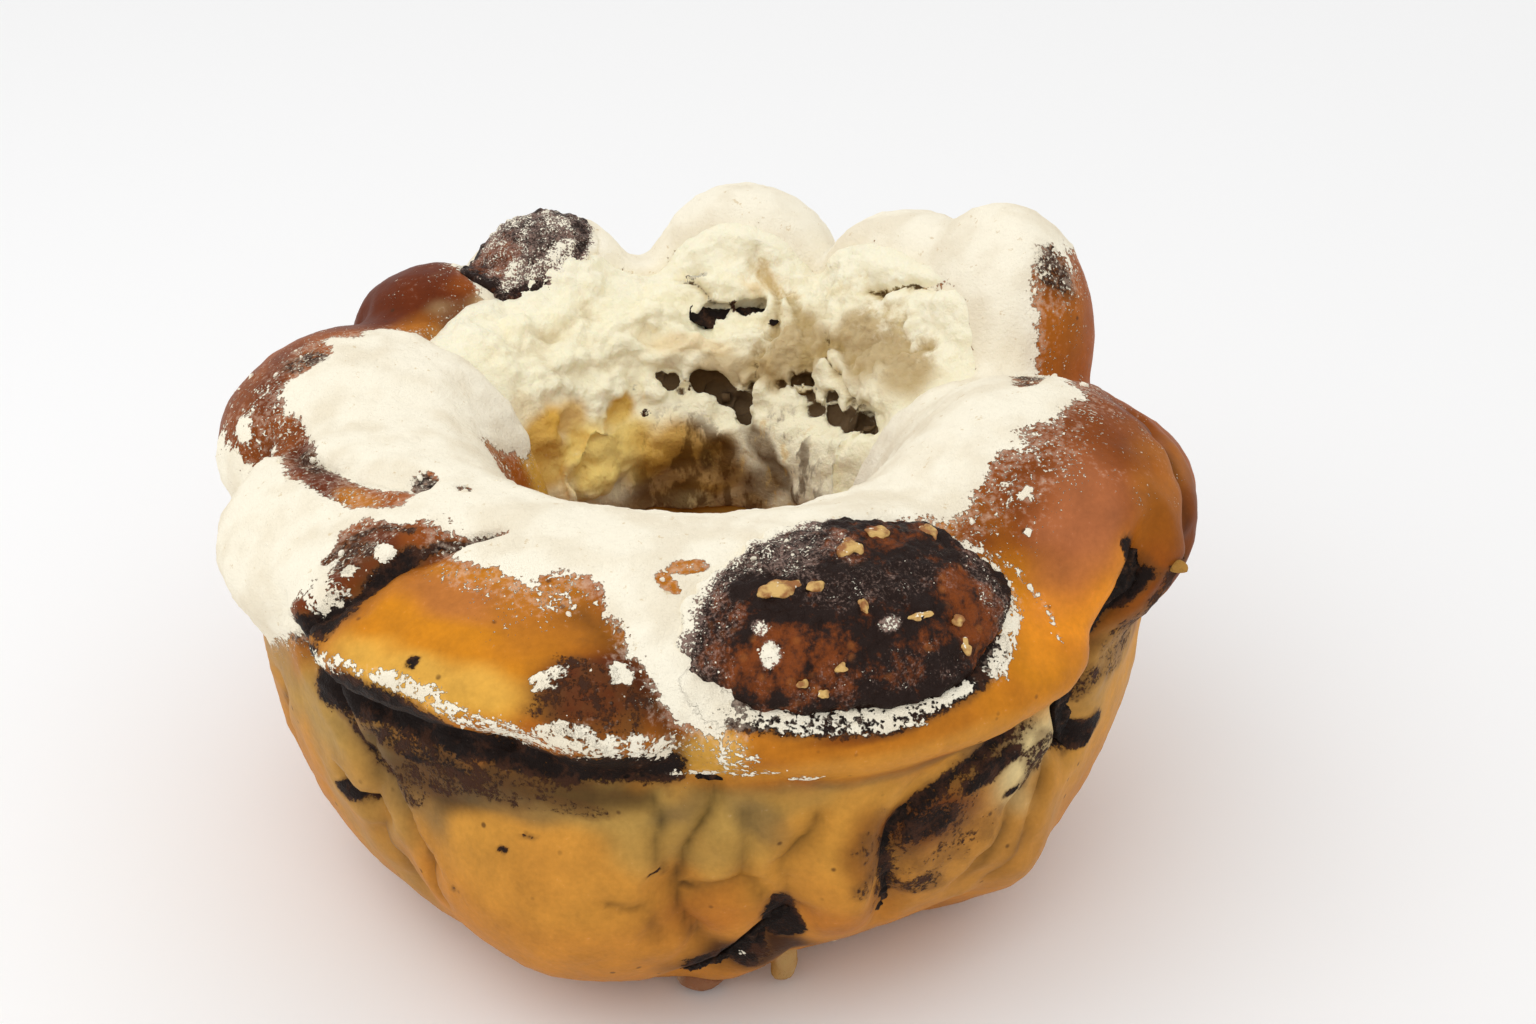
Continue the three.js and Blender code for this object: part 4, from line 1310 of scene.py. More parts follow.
# Patches on the torn crumb: colour, middle, half sizes, turn, strength
CRUMB_PATCHES = (
    # Painted shade on the wall's shaded side, its folds and its undercut
    ("olive", (30, 114), (17, 12), 0, 0.7),
    ("olive", (56, 124), (10, 12), 0, 0.7),
    ("olive", (74, 134), (18, 5), 0, 0.6),
    ("honey", (68, 105), (7, 3.4), 20, 0.45),
    ("honey", (90, 127), (12, 3), 0, 0.3),
    ("cream", (42, 104), (14, 4), 0, 0.6),
    ("honey", (138, 141), (9, 5), 0, 0.8),
    ("honey", (116, 144), (6, 3.4), 20, 1.0),
    ("honey", (152, 148), (12, 16), 0, 0.95),
    # Painted light: the yellow collar painted brighter than its own colour, against the shade deep in the
    # hole
    ("lit_yolk", (124, 158), (25, 13), 0, 1.0),
    ("honey", (96, 158), (18, 8), 0, 0.85),
    ("tube", (88, 168), (24, 10), 0, 0.9),
    ("tube", (80, 184), (75, 10), 0, 0.8),
    ("umber", (78, 162), (9, 8), 0, 0.6),
    ("umber", (57, 160), (14, 4.5), -42, 0.8),
    ("umber", (62, 172), (7, 10), 0, 0.6),
    ("burnt", (84, 164), (3, 4), 0, 0.6),
    ("cream", (90, 182), (10, 5), 0, 0.8),
    ("chestnut", (272, -86), (8, 12), 0, 0.9),
    ("tan", (284, -84), (4, 16), 0, 0.9),
    ("tan", (331, 36), (8, 12), 0, 1.0),
)
# Chocolate that stains the crumb: amount, middle, half sizes, turn
CRUMB_STAINS = (
    (0.66, (84, 115.5), (2.7, 1.9), 0),
    (0.56, (89, 106), (4, 1.2), 0),
    (0.62, (77, 114), (5, 1.4), 0),
    (0.60, (107, 146), (2.6, 2.2), 0),
)
# The cracks' depths between which painted shade darkens them, the painted shadow behind the collar and its
# depths under the skin, the tube's skin, and where the wall is folded
CRACK_SHADE = (1.6, 4.2)
BEHIND_COLLAR = ((66, 1), (50, 12))
BEHIND_DEPTHS = (-0.4, -2.2)
TUBE_SKIN = ((70, 180), (46, 60))
WALL_FOLDS = ((1.0, (56, 120), (17, 20), 0), (1.0, (30, 114), (14, 12), 0))
# Relief that is left outside the wall, and how much sugar fell on the wall and on the rest
LEAST_RELIEF = 0.3
WALL_SUGAR = 0.8
LEAST_SUGAR = 0.16


def sheet_solid(front, back):
    """A closed shell between two grids of points."""
    rows, columns = front.shape[:2]
    i, j = np.meshgrid(np.arange(rows - 1), np.arange(columns - 1), indexing="ij")
    corner = i * columns + j
    quads = np.stack([corner, corner + columns, corner + columns + 1, corner + 1], -1).reshape(-1, 4)
    behind = quads[:, ::-1] + rows * columns
    index = np.arange(rows * columns).reshape(rows, columns)
    rim = np.concatenate([index[0, :-1], index[:-1, -1], index[-1, :0:-1], index[:0:-1, 0]])
    rim_next = np.roll(rim, -1)
    sides = np.stack([rim, rim_next, rim_next + rows * columns, rim + rows * columns], -1)
    points = np.concatenate([front.reshape(-1, 3), back.reshape(-1, 3)])
    return points, np.concatenate([quads, behind, sides])


def below_collar(azimuth, slant):
    """How many degrees of slant a place lies below the collar's edge."""
    return slant - np.interp(azimuth, *np.array(COLLAR_EDGE, float).T)


def collar_gap(azimuth, below_edge):
    """1 in the gaps behind the collar and 0 where it clings to the wall."""
    share = np.zeros(azimuth.shape)
    for middle, half, opens in COLLAR_GAPS:
        across = smooth_step(1.4 * half, 0.8 * half, np.abs(azimuth - middle))
        share = np.maximum(share, across * smooth_step(-opens - 3, -opens + 1, below_edge))
    return share


def wall_sheet():
    """The torn wall, which dives under the baked skin at its edges."""
    azimuth, slant = np.meshgrid(
        np.linspace(*TORN_AZIMUTH, WALL_STEPS[0]), np.linspace(*TORN_SLANT, WALL_STEPS[1]), indexing="ij")
    skin, way = dough_skin(azimuth, slant)
    share = torn_share(azimuth, slant)
    below_edge = below_collar(azimuth, slant) + 3.0 * wander(skin, 3, 39)
    proud = WALL_PROUD * share - WALL_SUNK * (1 - share) + share * wander(skin, 15, 31)
    proud = proud - WALL_BEHIND_COLLAR * collar_gap(azimuth + 2 * wander(skin, 5, 45), below_edge)
    for deep, middle, half in PITS:
        proud = proud - deep * patch(azimuth, slant, middle, half, 0, 0.5, 0.2 * wander(skin, 5, 37))
    return sheet_solid(skin + way * proud[..., None], skin - way * WALL_BACK)


def collar_sheet():
    """The tube's skin, which stands off the torn wall with a ragged edge."""
    edge = np.array(COLLAR_EDGE, float)
    azimuth = np.linspace(edge[0, 0], edge[-1, 0], COLLAR_STEPS[0])[:, None]
    down = np.linspace(0, 1, COLLAR_STEPS[1])[None]
    skin, _ = dough_skin(*np.broadcast_arrays(azimuth, np.interp(azimuth, *edge.T)))
    top = np.interp(azimuth, *edge.T) + 1.6 * wander(skin, 7, 33)
    slant = top + (COLLAR_LOW - top) * down
    azimuth = np.broadcast_to(azimuth, slant.shape)
    skin, way = dough_skin(azimuth, slant)
    proud = COLLAR_PROUD[0] + (COLLAR_PROUD[1] - COLLAR_PROUD[0]) * down
    proud = proud + 0.8 * wander(skin, 9, 35)
    thick = COLLAR_THICK[0] * smooth_step(-0.3, 0.25, down) + (COLLAR_THICK[1] - COLLAR_THICK[0]) * down
    return sheet_solid(skin + way * proud[..., None], skin + way * (proud - thick)[..., None])


def unit_ball(fineness):
    """Points and triangles of an even ball with a radius of 1."""
    builder = bmesh.new()
    bmesh.ops.create_icosphere(builder, subdivisions=fineness, radius=1)
    points = np.array([vertex.co for vertex in builder.verts])
    faces = np.array([[vertex.index for vertex in face.verts] for face in builder.faces])
    builder.free()
    return points, faces


def lump(ball, middle, half, uneven, seed):
    """A rough lump at an azimuth, radius and height."""
    turn = math.radians(middle[0])
    swell = 1 + uneven * wander(ball + 3 * seed, 1.6, seed)
    along, across, up = (ball * half * swell[:, None]).T
    x = along * -math.sin(turn) + across * math.cos(turn)
    y = along * math.cos(turn) + across * math.sin(turn)
    return ring_point(*middle) + np.stack([x, y, up], -1)


def torn_lumps():
    """The big lumps, each with small ones budding from it."""
    draw = np.random.default_rng(7)
    ball, faces = unit_ball(3)
    shapes = []
    for number, (azimuth, radius, height, *half) in enumerate(CRUMB_LUMPS):
        middle = np.array([azimuth, radius, height], float)
        shapes.append((lump(ball, middle, half, 0.12, number), faces))
        if min(half) <= BUDDING_SIZE:
            continue
        for bud in range(SMALL_LUMPS):
            way = draw.normal(size=3)
            way /= np.linalg.norm(way)
            along, across, up = way * half * 0.85
            place = middle + [math.degrees(along / radius), across, up]
            size = draw.uniform(*SMALL_LUMP_SIZE)
            shapes.append((lump(ball, place, (size, size, size), 0.15, 40 * number + bud), faces))
    return shapes


def joined(shapes):
    """Several closed shapes as one list of points and faces."""
    points, faces, count = [], [], 0
    for shape_points, shape_faces in shapes:
        points.append(shape_points)
        faces += (shape_faces + count).tolist()
        count += len(shape_points)
    return np.concatenate(points), faces


def remeshed(name, shapes, voxel):
    """Closed shapes fused into one even skin."""
    piece = link_object(name, make_mesh(name, *joined(shapes)))
    modifier = piece.modifiers.new("fused", "REMESH")
    modifier.mode = "VOXEL"
    modifier.voxel_size = voxel * MM
    modifier.use_smooth_shade = True
    apply_modifiers(piece)
    return piece


def mesh_places(mesh):
    """Every vertex of a mesh: its place round the ring's axis, azimuth, slant, radius and depth."""
    places = np.empty(len(mesh.vertices) * 3)
    mesh.vertices.foreach_get("co", places)
    point = places.reshape(-1, 3) / MM - AXIS
    radius = np.hypot(point[:, 0], point[:, 1])
    azimuth = np.degrees(np.arctan2(point[:, 1], point[:, 0])) % 360
    slant = np.degrees(np.arctan2(point[:, 2] - CORE_HEIGHT, radius - CORE_RADIUS))
    slant = np.where(slant < -120, slant + 360, slant)
    return point, azimuth, slant, radius, np.hypot(radius - CORE_RADIUS, point[:, 2] - CORE_HEIGHT)


def crumb_relief(finish):
    """Torn crumb: billows, small grains and cracks."""
    sizes = {"Billow Height": 1.7, "Fold Height": 2.0, "Grain Height": 0.75, "Fluff Height": 0.6}
    nodes, given = new_relief("crumb_relief", sizes)
    geometry, place = keep_place(nodes, given["Geometry"])
    torn = kept_number(nodes, "torn")
    bent = nodes.add("ShaderNodeTexNoise", None, {"Vector": place, "Scale": 1 / (6 * MM)}, 1)
    bent = nodes.scaled(bent, 2.5 * MM)
    bent = nodes.add("ShaderNodeVectorMath", {"operation": "ADD"}, {0: bent, 1: place})
    folded = kept_number(nodes, "folded")
    flat = nodes.add("ShaderNodeVectorMath", {"operation": "MULTIPLY"}, {0: bent, 1: (1, 1, 1.5)})
    billows = (0.42 - nodes.cells(flat, 9.5)) * given["Billow Height"] * 2 * (1 - folded * 0.7)
    ridge = nodes.uneven(bent, 7, 3, 0.6, (1, 1, 0.3)).math("ABSOLUTE")
    folds = (ridge * 6).math("MINIMUM", 1) * given["Fold Height"] * folded
    grains = (0.42 - nodes.cells(bent, 3.4)) * given["Grain Height"] * 2
    fluff = nodes.uneven(place, 2.2, 3, 0.65) * given["Fluff Height"] * 2
    height = torn * (billows + folds + grains + fluff)
    # The height is kept for the painted shade in the hollows
    geometry = keep(nodes, geometry, "height", billows + folds - folded + grains * 0.7)
    lifted = lift_along_normal(nodes, geometry, height - kept_number(nodes, "crack"))
    return close_relief(nodes, lifted, finish)


def crumb_finish():
    """Soft torn crumb, creamy where it is high, with painted olive shade in hollows and cracks, dusted with
    sugar.
    """
    finish, nodes, put = shader("torn_crumb")
    place = stored(nodes, "rest_place", "Vector")
    base = stored(nodes, "crust", "Color")
    height = stored(nodes, "height")
    crack = stored(nodes, "crack")
    stain = stain_cover(nodes, place, stored(nodes, "stain"))
    fine = nodes.noise(place, 1.6, 3, 0.6)
    tube = stored(nodes, "tube")
    # Painted shade: olive in the hollows, less on the tube's skin and more where the wall is folded
    hollow_shade = (0.25 - height * 0.3 + crack * 0.25 + (fine - 0.5) * 0.8).soft_step(0.4, 1.3)
    share = stored(nodes, "folded") * 0.25 - tube * 0.4 + 0.5
    colour = nodes.mix(hollow_shade * share, base, nodes.colour(*HOLLOW_SHADE))
    streak = nodes.noise(place, 6, 4, 0.6, (1, 1, 0.4))
    colour = nodes.mix(tube * streak.soft_step(0.5, 0.6) * 0.75, colour, nodes.colour(*TUBE_DARK))
    colour = nodes.mix(tube * streak.soft_step(0.44, 0.34) * 0.55, colour, nodes.colour(*TUBE_PALE))
    # Painted shade in the deep cracks and behind the collar
    deep = stored(nodes, "dark") + (fine - 0.5) * 1.3 + nodes.uneven(place, 3, 2) * 0.8
    deep = deep.soft_step(0.4, 0.8)
    colour = nodes.mix(deep * 0.95, colour, nodes.colour(*CRACK_AND_GAP_SHADE))
    colour = nodes.mix(stain, colour, chocolate_colour(nodes, place, stored(nodes, "stain")))
    drift = nodes.uneven(place, 5, 4, 0.65) * 1.2
    sugar = stored(nodes, "sugar") - hollow_shade * 0.2 - deep * 0.9 - tube * 0.3 + drift
    put(Base_Color=nodes.mix(sugar.soft_step(0.3, 0.75), colour, nodes.colour(*CRUMB_SUGAR)))
    put(Roughness=0.88, Specular_IOR_Level=0.1)
    put(Normal=bump(nodes, nodes.noise(place, 1.2, 4, 0.65) + nodes.noise(place, 3, 3) * 0.8, 0.7))
    put(Subsurface_Weight=0.15, Subsurface_Radius=(1.0, 0.7, 0.4), Subsurface_Scale=0.003)
    return finish


def colour_crumb(mesh):
    """Stores on each vertex where the crumb cracked, the painted shade in its cracks and gaps, its colour
    and what lies on it.
    """
    point, azimuth, slant, radius, depth = mesh_places(mesh)
    cracked = np.zeros(azimuth.shape)
    uneven_width = 1 + 0.4 * wander(point, 6, 41)
    for route, width, deep in CRUMB_CRACKS:
        off = skin_distance(azimuth, slant, radius, depth, route)
        cracked = np.maximum(cracked, deep * np.exp(-((off / (width * uneven_width)) ** 2)))
    in_wall = torn_share(azimuth, slant)
    below_edge = below_collar(azimuth, slant)
    behind = patch(azimuth, below_edge, *BEHIND_COLLAR, 0, 0.2)
    behind *= smooth_step(*BEHIND_DEPTHS, depth - skin_depth(azimuth, slant))
    # Painted shade: darkest in deep cracks and in the gaps behind the collar
    dark = np.maximum(smooth_step(*CRACK_SHADE, cracked), 1.15 * behind)
    cracked = np.maximum(cracked, 1.5 * behind)
    store(mesh, "crack", cracked * in_wall)
    store(mesh, "dark", dark * in_wall)
    uneven = 0.2 * wander(point, 12, 43)
    colour = np.broadcast_to(linear(*CRUMB_CREAM), point.shape)
    store(mesh, "crust", with_patches(colour, azimuth, slant, CRUMB_PATCHES, 0.4, uneven))
    store(mesh, "stain", strongest_patch(azimuth, slant, CRUMB_STAINS, 0.4, uneven))
    store(mesh, "torn", np.maximum(LEAST_RELIEF, in_wall) * (1 - 0.6 * smooth_step(-1, 4, below_edge)))
    store(mesh, "tube", smooth_step(4, 14, below_edge) * patch(azimuth, slant, *TUBE_SKIN, 0, 0.3))
    store(mesh, "folded", strongest_patch(azimuth, slant, WALL_FOLDS, 0.3, 0))
    sugared = smooth_step(118, 94, slant) * smooth_step(40, 80, slant)
    store(mesh, "sugar", WALL_SUGAR * sugared + LEAST_SUGAR)


torn = remeshed("torn_crumb", [wall_sheet(), collar_sheet(), *torn_lumps()], CRUMB_VOXEL)
colour_crumb(torn.data)
run_nodes(torn, crumb_relief(crumb_finish()))
stay_in_box(torn.data)
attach(torn, "root")
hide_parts("babka_dough")

# The filling: a dark paste of chocolate and sugar, rolled into the dough before it was twisted.
# It shows in the seams as a moist, crumbly layer that runs in to the hole.
FILLING_STEPS = 110
FILLING_DEPTH_STEPS = 40
FILLING_FACE_STEPS = 8
FILLING_SEARCH_STEPS = 30
# How much deeper than the dough's mesh a layer ends, and its colours
FILLING_UNDER = 3.2
FILLING_BLACK = (22, 14, 10)
FILLING_BROWN = (64, 42, 28)
FILLING_GRIT = (104, 68, 42)


def layer_radius(start, sign, azimuth, height, rise):
    """Radius at which a layer meets the dough's skin, coming from outside or from the hole."""
    radius = np.full(azimuth.shape, float(start))
    for _ in range(FILLING_SEARCH_STEPS):
        place = ring_point(azimuth, radius, height + seam_lift(azimuth, radius, rise))
        radius = radius - sign * MARCH_SHARE * dough_distance(place)
    return radius


def filling_mesh(name):
    """A layer of filling as a closed strip, from its rough outer face in to the hole."""
    _, thickness, rise, _ = SEAMS[name]
    share = np.linspace(0, 1, FILLING_STEPS)
    route, way = seam_line(name)
    at = np.linspace(0, 1, len(route))
    azimuth, height = (np.interp(share, at, route[:, k])[:, None] for k in (0, 1))
    way_x, way_y = (np.interp(share, at, way[:, k])[:, None] for k in (0, 1))
    out_in = np.linspace(0, 1, FILLING_DEPTH_STEPS)
    face = np.linspace(1, -1, FILLING_FACE_STEPS)[1:-1]
    inward = np.concatenate([out_in, np.ones(len(face)), out_in[::-1], np.zeros(len(face))])[None]
    across = np.concatenate([np.ones(len(out_in)), face, -np.ones(len(out_in)), -face])[None]
    rounded = np.sqrt(np.maximum(1 - (2 * share - 1) ** 6, 0.02))[:, None]
    side = thickness / 2 * rounded * across
    middle_radius = CORE_RADIUS + 25
    turned = azimuth + np.degrees(-way_y * side / middle_radius)
    level = height + way_x * side
    under = SKIN_UNDER + FILLING_UNDER
    outer = layer_radius(SEAM_OUTER, 1, turned, level, rise) - under
    inner = layer_radius(SEAM_INNER, -1, turned, level, rise) + under
    outer = np.maximum(outer, inner + 2)
    radius = outer + (inner - outer) * inward
    place = ring_point(turned, radius, level + seam_lift(turned, radius, rise))
    rows, columns = place.shape[:2]
    i, j = np.meshgrid(np.arange(rows - 1), np.arange(columns), indexing="ij")
    j_next = (j + 1) % columns
    corners = [i * columns + j, i * columns + j_next, (i + 1) * columns + j_next, (i + 1) * columns + j]
    skin = np.stack(corners, -1).reshape(-1, 4)
    k = np.arange(columns // 2 - 1)
    cap = np.stack([k, k + 1, columns - 2 - k, columns - 1 - k], -1)
    return make_mesh(name, place, np.concatenate([skin, cap, cap + (rows - 1) * columns]))


def outward_faces(mesh):
    """Turns every face of a closed mesh outwards."""
    builder = bmesh.new()
    builder.from_mesh(mesh)
    bmesh.ops.recalc_face_normals(builder, faces=builder.faces)
    builder.to_mesh(mesh)
    builder.free()


def paste_relief(name, finish):
    """Crumbly filling."""
    nodes, given = new_relief(name, {"Crumble Height": 2.4, "Grain Height": 0.5})
    geometry, place = keep_place(nodes, given["Geometry"])
    crumble = nodes.uneven(place, 6, 4, 0.65) * given["Crumble Height"] * 2
    grain = (0.4 - nodes.cells(place, 1.6)) * given["Grain Height"] * 2
    return close_relief(nodes, lift_along_normal(nodes, geometry, crumble + grain), finish)


def filling_finish():
    finish, nodes, put = shader("moist_filling")
    place = stored(nodes, "rest_place", "Vector")
    share = nodes.noise(place, 4, 5, 0.7).soft_step(0.5, 0.7)
    colour = nodes.mix(share, nodes.colour(*FILLING_BLACK), nodes.colour(*FILLING_BROWN))
    grit = nodes.cells(place, 1.9).soft_step(0.2, 0.1)
    put(Base_Color=nodes.mix(grit * 0.3, colour, nodes.colour(*FILLING_GRIT)))
    put(Roughness=nodes.noise(place, 2.2, 3, 0.6) * 0.6 + 0.3, Specular_IOR_Level=0.1)
    put(Normal=bump(nodes, nodes.noise(place, 1.1, 4, 0.65), 0.6))
    return finish


PASTE_RELIEF = paste_relief("paste_relief", filling_finish())
for seam in SEAMS:
    layer = link_object(seam + "_layer", filling_mesh(seam))
    outward_faces(layer.data)
    run_nodes(layer, PASTE_RELIEF)
    stay_in_box(layer.data)
    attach(layer, "root")
    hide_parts(seam)

# Bare chocolate: on two strands the filling lay on top and baked to a rough, cracked crust.
# Its edge sinks under the dough's skin. Sugar dusted its upper side.

# Its mesh, how far it stands out, sinks at its rim and reaches past the bare patch, and its colours
CHOCOLATE_GRID = {"chocolate_front": 170, "chocolate_back_left": 110}
CHOCOLATE_PROUD = 1.1
CHOCOLATE_SUNK = 3.2
CHOCOLATE_REACH = 1.06
CRUST_BLACK = (34, 19, 13)
CRUST_RED = (126, 62, 20)
CRUST_TAN = (156, 90, 38)
CRUST_DUST = (176, 146, 132)

# Sugar on the crust and places where it is red brown: amount, middle, half sizes, turn
CHOCOLATE_SUGAR = {
    "chocolate_front": (
        (0.62, (272, 84), (7, 9), -25), (0.60, (282, 92), (13, 4), 0), (0.40, (281, 81), (13, 9), 0),
        (0.34, (271, 64), (4, 18), 0), (0.40, (284, 76), (4, 3), 0), (0.26, (292, 66), (12, 6), 0),
        (0.80, (278, 54), (1.0, 2.4), 0), (0.62, (291, 56), (1.4, 1.6), 0),
        (0.60, (277, 61), (1.0, 2.0), 0), (0.34, (306, 58), (2.4, 16), 0), (0.24, (288, 45), (14, 5), 0),
    ),
    "chocolate_back_left": (
        (0.44, (121, 88), (14, 15), 0), (0.62, (119, 97), (9, 4), 0), (0.60, (115, 86), (3.4, 5), 0),
        (0.58, (127, 94), (4, 4), 0), (0.52, (122, 78), (8, 4), 0),
    ),
}
CHOCOLATE_RED = {
    "chocolate_front": (
        (0.90, (279, 52), (7, 9), 0), (0.60, (287, 46), (8, 4), 0), (0.90, (302, 55), (4, 12), 0),
        (0.70, (296, 51), (4, 3.4), 0), (0.60, (296, 79), (9, 6), 0), (0.60, (273, 60), (3, 8), 0),
    ),
    "chocolate_back_left": ((0.9, (128, 85), (4.4, 7), 0),),
}


def disc_grid(count):
    """An even grid on a disc: two coordinates from -1 to 1, and the way out to its rim."""
    u, v = np.meshgrid(np.linspace(-1, 1, count), np.linspace(-1, 1, count), indexing="ij")
    x, y = u * np.sqrt(1 - v * v / 2), v * np.sqrt(1 - u * u / 2)
    return x, y, np.hypot(x, y)


def chocolate_mesh(name):
    (middle_azimuth, middle_slant), (half_azimuth, half_slant) = BARE_CHOCOLATE[name]
    x, y, out = disc_grid(CHOCOLATE_GRID[name])
    flat = np.stack([x, y, 0 * x], -1) * 20
    ragged = 1 + 0.05 * wander(flat, 17, 51) + 0.018 * wander(flat, 5, 53)
    azimuth = middle_azimuth + half_azimuth * x * ragged * CHOCOLATE_REACH
    slant = middle_slant + half_slant * y * ragged * CHOCOLATE_REACH
    skin, way = dough_skin(azimuth, slant)
    proud = CHOCOLATE_PROUD * (1 - out**6) - CHOCOLATE_SUNK * smooth_step(0.9, 1.0, out)
    mesh = make_mesh(name, *sheet_solid(skin + way * proud[..., None], skin - way * (CHOCOLATE_SUNK + 1)))
    outward_faces(mesh)
    return mesh


def chocolate_relief(finish):
    """Cracked crust: plates, blisters and grains."""
    sizes = {"Plate Height": 1.3, "Blister Height": 0.7, "Grain Height": 0.3}
    nodes, given = new_relief("chocolate_relief", sizes)
    geometry, place = keep_place(nodes, given["Geometry"])
    plates = nodes.uneven(place, 9, 4, 0.62) * given["Plate Height"] * 2
    blisters = (0.4 - nodes.cells(place, 3.2)) * given["Blister Height"] * 2
    grains = nodes.uneven(place, 1.2, 2, 0.6) * given["Grain Height"] * 2
    height = plates + blisters + grains
    geometry = keep(nodes, geometry, "height", height)
    return close_relief(nodes, lift_along_normal(nodes, geometry, height), finish)


def chocolate_finish():
    finish, nodes, put = shader("baked_chocolate")
    place = stored(nodes, "rest_place", "Vector")
    height = stored(nodes, "height")
    fine = nodes.noise(place, 1.3, 3, 0.65)
    broad = nodes.noise(place, 5, 5, 0.7, (1, 1, 0.6))
    red = (stored(nodes, "red") * 0.8 + (broad - 0.5) * 2.4 + (fine - 0.5) * 1.2).soft_step(0.15, 1.0)
    colour = nodes.mix(red, nodes.colour(*CRUST_BLACK), nodes.colour(*CRUST_RED))
    tan = nodes.cells(place, 4.5).soft_step(0.3, 0.12) * stored(nodes, "red").soft_step(0.3, 0.8)
    colour = nodes.mix(tan * 0.5, colour, nodes.colour(*CRUST_TAN))
    sugar = stored(nodes, "sugar")
    drift = nodes.uneven(place, 3, 3, 0.6) * 0.9 + nodes.uneven(place, 0.5, 2) * 1.2
    cover = (sugar + height * 0.05 + drift).soft_step(0.5, 0.64)
    bristle = nodes.uneven(place, 0.7, 3, 0.7)
    dust = (sugar * 1.8 - 0.2 + (broad - 0.5) * 1.2 + bristle * 2.4).soft_step(0.2, 1.1) * 0.62
    colour = nodes.mix(dust, colour, nodes.colour(*CRUST_DUST))
    put(Base_Color=nodes.mix(cover, colour, nodes.colour(*SUGAR_WHITE)))
    gloss = fine * 0.8 + 0.1
    put(Roughness=gloss + (0.9 - gloss) * cover, Specular_IOR_Level=0.14)
    put(Normal=bump(nodes, nodes.noise(place, 0.9, 3, 0.7) + cover * 0.4, 0.6))
    return finish


def rim_sugar(name, azimuth, slant):
    """Sugar that drifted onto the crust's rim, on its side towards the upper left."""
    (middle_azimuth, middle_slant), (half_azimuth, half_slant) = BARE_CHOCOLATE[name]
    across = angle_between(azimuth, middle_azimuth) / half_azimuth
    up = (slant - middle_slant) / half_slant
    upper_left = 0.6 * up - 0.75 * across
    return smooth_step(0.7, 1.0, np.hypot(across, up)) * smooth_step(0.1, 1.0, upper_left)


def colour_chocolate(mesh, name):
    """Stores on each vertex how much sugar lies on it and how red it is."""
    point, azimuth, slant, _, _ = mesh_places(mesh)
    uneven = 0.25 * wander(point, 8, 61)
    sugar = strongest_patch(azimuth, slant, CHOCOLATE_SUGAR[name], 0.5, uneven)
    store(mesh, "sugar", np.maximum(sugar, rim_sugar(name, azimuth, slant)))
    store(mesh, "red", strongest_patch(azimuth, slant, CHOCOLATE_RED[name], 0.5, uneven))


CHOCOLATE_RELIEF = chocolate_relief(chocolate_finish())
for name in BARE_CHOCOLATE:
    crust = link_object(name + "_crust", chocolate_mesh(name))
    colour_chocolate(crust.data, name)
    run_nodes(crust, CHOCOLATE_RELIEF)
    stay_in_box(crust.data)
    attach(crust, "root")
    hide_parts(name)

# Chopped bits: roasted pieces baked into the front bare chocolate, pale against it.
# Each is a rough lump pressed flat: azimuth, slant, half size along the ring and half size up it.
BITS = (
    (280.5, 69.5, 4.2, 2.6), (284.5, 68, 1.8, 1.4), (291, 77, 3.2, 2.6), (296, 80, 2.4, 2.0),
    (303.5, 77, 1.6, 2.4), (289, 61, 0.9, 1.8), (295, 56, 2.6, 0.9), (299.5, 53, 1.4, 1.2),
    (299.5, 47, 1.3, 1.4), (285, 49, 1.2, 1.0), (281, 47, 1.0, 0.9), (283, 44, 1.0, 0.9),
)
BIT_PROUD = 0.2
BIT_FLATNESS = 0.5
BIT_PALE = (212, 172, 100)
BIT_ROASTED = (150, 94, 40)


def bit_shapes():
    ball, faces = unit_ball(4)
    for number, (azimuth, slant, half_along, half_up) in enumerate(BITS):
        skin, way = dough_skin(np.array([float(azimuth)]), np.array([float(slant)]))
        swell = 1 + 0.26 * wander(ball + 5 * number, 1.5, 70 + number)
        along = np.array([-math.sin(math.radians(azimuth)), math.cos(math.radians(azimuth)), 0])
        up = np.cross(along, way[0])
        flat = BIT_FLATNESS * min(half_along, half_up)
        axes = np.stack([along * half_along, up * half_up, way[0] * flat])
        middle = skin[0] + way[0] * (CHOCOLATE_PROUD + BIT_PROUD - 0.4 * flat)
        yield middle + (ball * swell[:, None]) @ axes, faces


def bit_finish():
    finish, nodes, put = shader("roasted_bits")
    place = stored(nodes, "rest_place", "Vector")
    share = nodes.noise(place, 3.5, 3, 0.6).soft_step(0.4, 0.62)
    colour = nodes.mix(share, nodes.colour(*BIT_PALE), nodes.colour(*BIT_ROASTED))
    dust = sugar_cover(nodes, place, 0.3)
    put(Base_Color=nodes.mix(dust, colour, nodes.colour(*SUGAR_WHITE)), Roughness=0.6)
    put(Normal=bump(nodes, nodes.noise(place, 1.0, 3, 0.65), 0.4))
    return finish


bits = link_object("chopped_bits", make_mesh("chopped_bits", *joined(list(bit_shapes()))))
run_nodes(bits, paste_relief("bit_relief", bit_finish()), {"Crumble Height": 0.25, "Grain Height": 0.1})
outward_faces(bits.data)
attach(bits, "root")
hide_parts("chocolate_front")

# Icing sugar that caked into small clumps and grains. They lie where the dusting thins out,
# on the bare chocolate and along the lips over the seams.

# How many lie on a square metre, their radii, and how fine their mesh is
CLUMPS = {"density": 26000, "size": (0.35, 1.0), "fineness": 2}
GRAINS = {"density": 190000, "size": (0.14, 0.34), "fineness": 1}


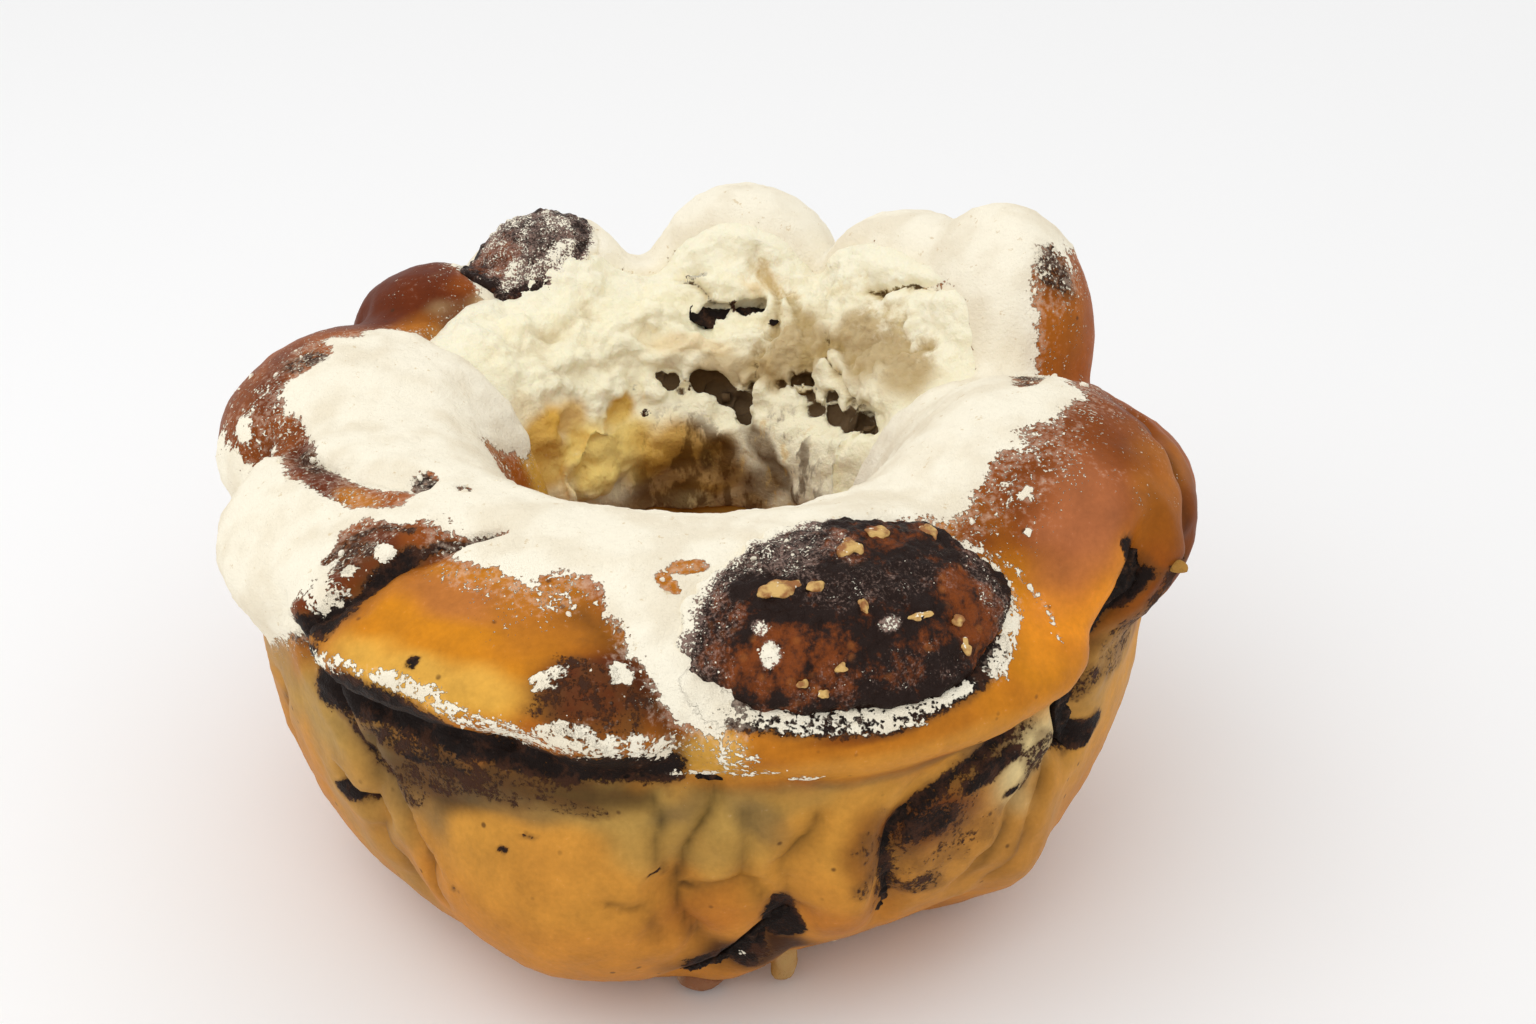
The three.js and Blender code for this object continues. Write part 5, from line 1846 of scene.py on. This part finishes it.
def scatter_tree(name, finish, fineness, seed):
    """Rough balls scattered on a surface as densely as its stored scatter value says."""
    nodes, given = new_relief(name, {"Density": 0.0, "Smallest": 0.0, "Largest": 0.0})
    density = kept_number(nodes, "scatter") * given["Density"]
    spread = nodes.add(
        "GeometryNodeDistributePointsOnFaces", {"distribute_method": "RANDOM"},
        {"Mesh": given["Geometry"], "Density": density, "Seed": seed})
    shape = nodes.add("GeometryNodeMeshIcoSphere", None, {"Radius": 1.0, "Subdivisions": fineness})
    dent = nodes.uneven(nodes.add("GeometryNodeInputPosition"), 900, 2)
    offset = nodes.scaled(nodes.add("GeometryNodeInputNormal"), dent * 1.6)
    shape = nodes.add("GeometryNodeSetPosition", None, {"Geometry": shape, "Offset": offset})
    turn = nodes.add(
        "FunctionNodeRandomValue", {"data_type": "FLOAT_VECTOR"}, {0: (0, 0, 0), 1: (6.3, 6.3, 6.3)})
    stretch = nodes.add(
        "FunctionNodeRandomValue", {"data_type": "FLOAT_VECTOR"}, {0: (0.6, 0.6, 0.5), 1: (1.3, 1.3, 1.0)})
    draw = nodes.add("FunctionNodeRandomValue", {"data_type": "FLOAT"}, {"Seed": seed + 1}, 1)
    size = given["Smallest"] + (given["Largest"] - given["Smallest"]) * draw * draw
    scale = nodes.scaled(stretch, size)
    balls = nodes.add(
        "GeometryNodeInstanceOnPoints", None,
        {"Points": spread, "Instance": shape, "Rotation": turn, "Scale": scale})
    return close_relief(nodes, balls, finish)


def sugar_finish():
    finish, nodes, put = shader("icing_sugar")
    place = nodes.add("ShaderNodeTexCoord", None, None, 3)
    share = nodes.noise(place, 5, 3).soft_step(0.4, 0.62)
    put(Base_Color=nodes.mix(share, nodes.colour(*SUGAR_WHITE), nodes.colour(*SUGAR_SHADE)), Roughness=0.95)
    put(Normal=bump(nodes, nodes.noise(place, 0.6, 3, 0.7), 0.3))
    return finish


SUGAR_FINISH = sugar_finish()


def scatter_share(mesh, on_chocolate):
    """How densely clumps lie on each vertex of a surface."""
    values = np.empty(len(mesh.vertices), np.float32)
    mesh.attributes["sugar"].data.foreach_get("value", values)
    edge = np.exp(-(((values - 0.5) / 0.17) ** 2))
    if on_chocolate:
        return 0.5 * edge + 0.25 * smooth_step(0.2, 0.5, values)
    return 0.6 * edge


for surface, on_chocolate in ((dough, False), (bpy.data.objects["chocolate_front_crust"], True)):
    for kind, numbers, seed in (("clumps", CLUMPS, 3), ("grains", GRAINS, 5)):
        name = f"sugar_{kind}_on_{surface.name}"
        base = surface.data.copy()
        store(base, "scatter", scatter_share(base, on_chocolate))
        scattered = link_object(name, base)
        tree = scatter_tree(name, SUGAR_FINISH, numbers["fineness"], seed)
        low, high = numbers["size"]
        values = {"Density": float(numbers["density"]), "Smallest": low * MM, "Largest": high * MM}
        run_nodes(scattered, tree, values)
        scattered.data.shade_smooth()
        stay_in_box(scattered.data)
        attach(scattered, "root")
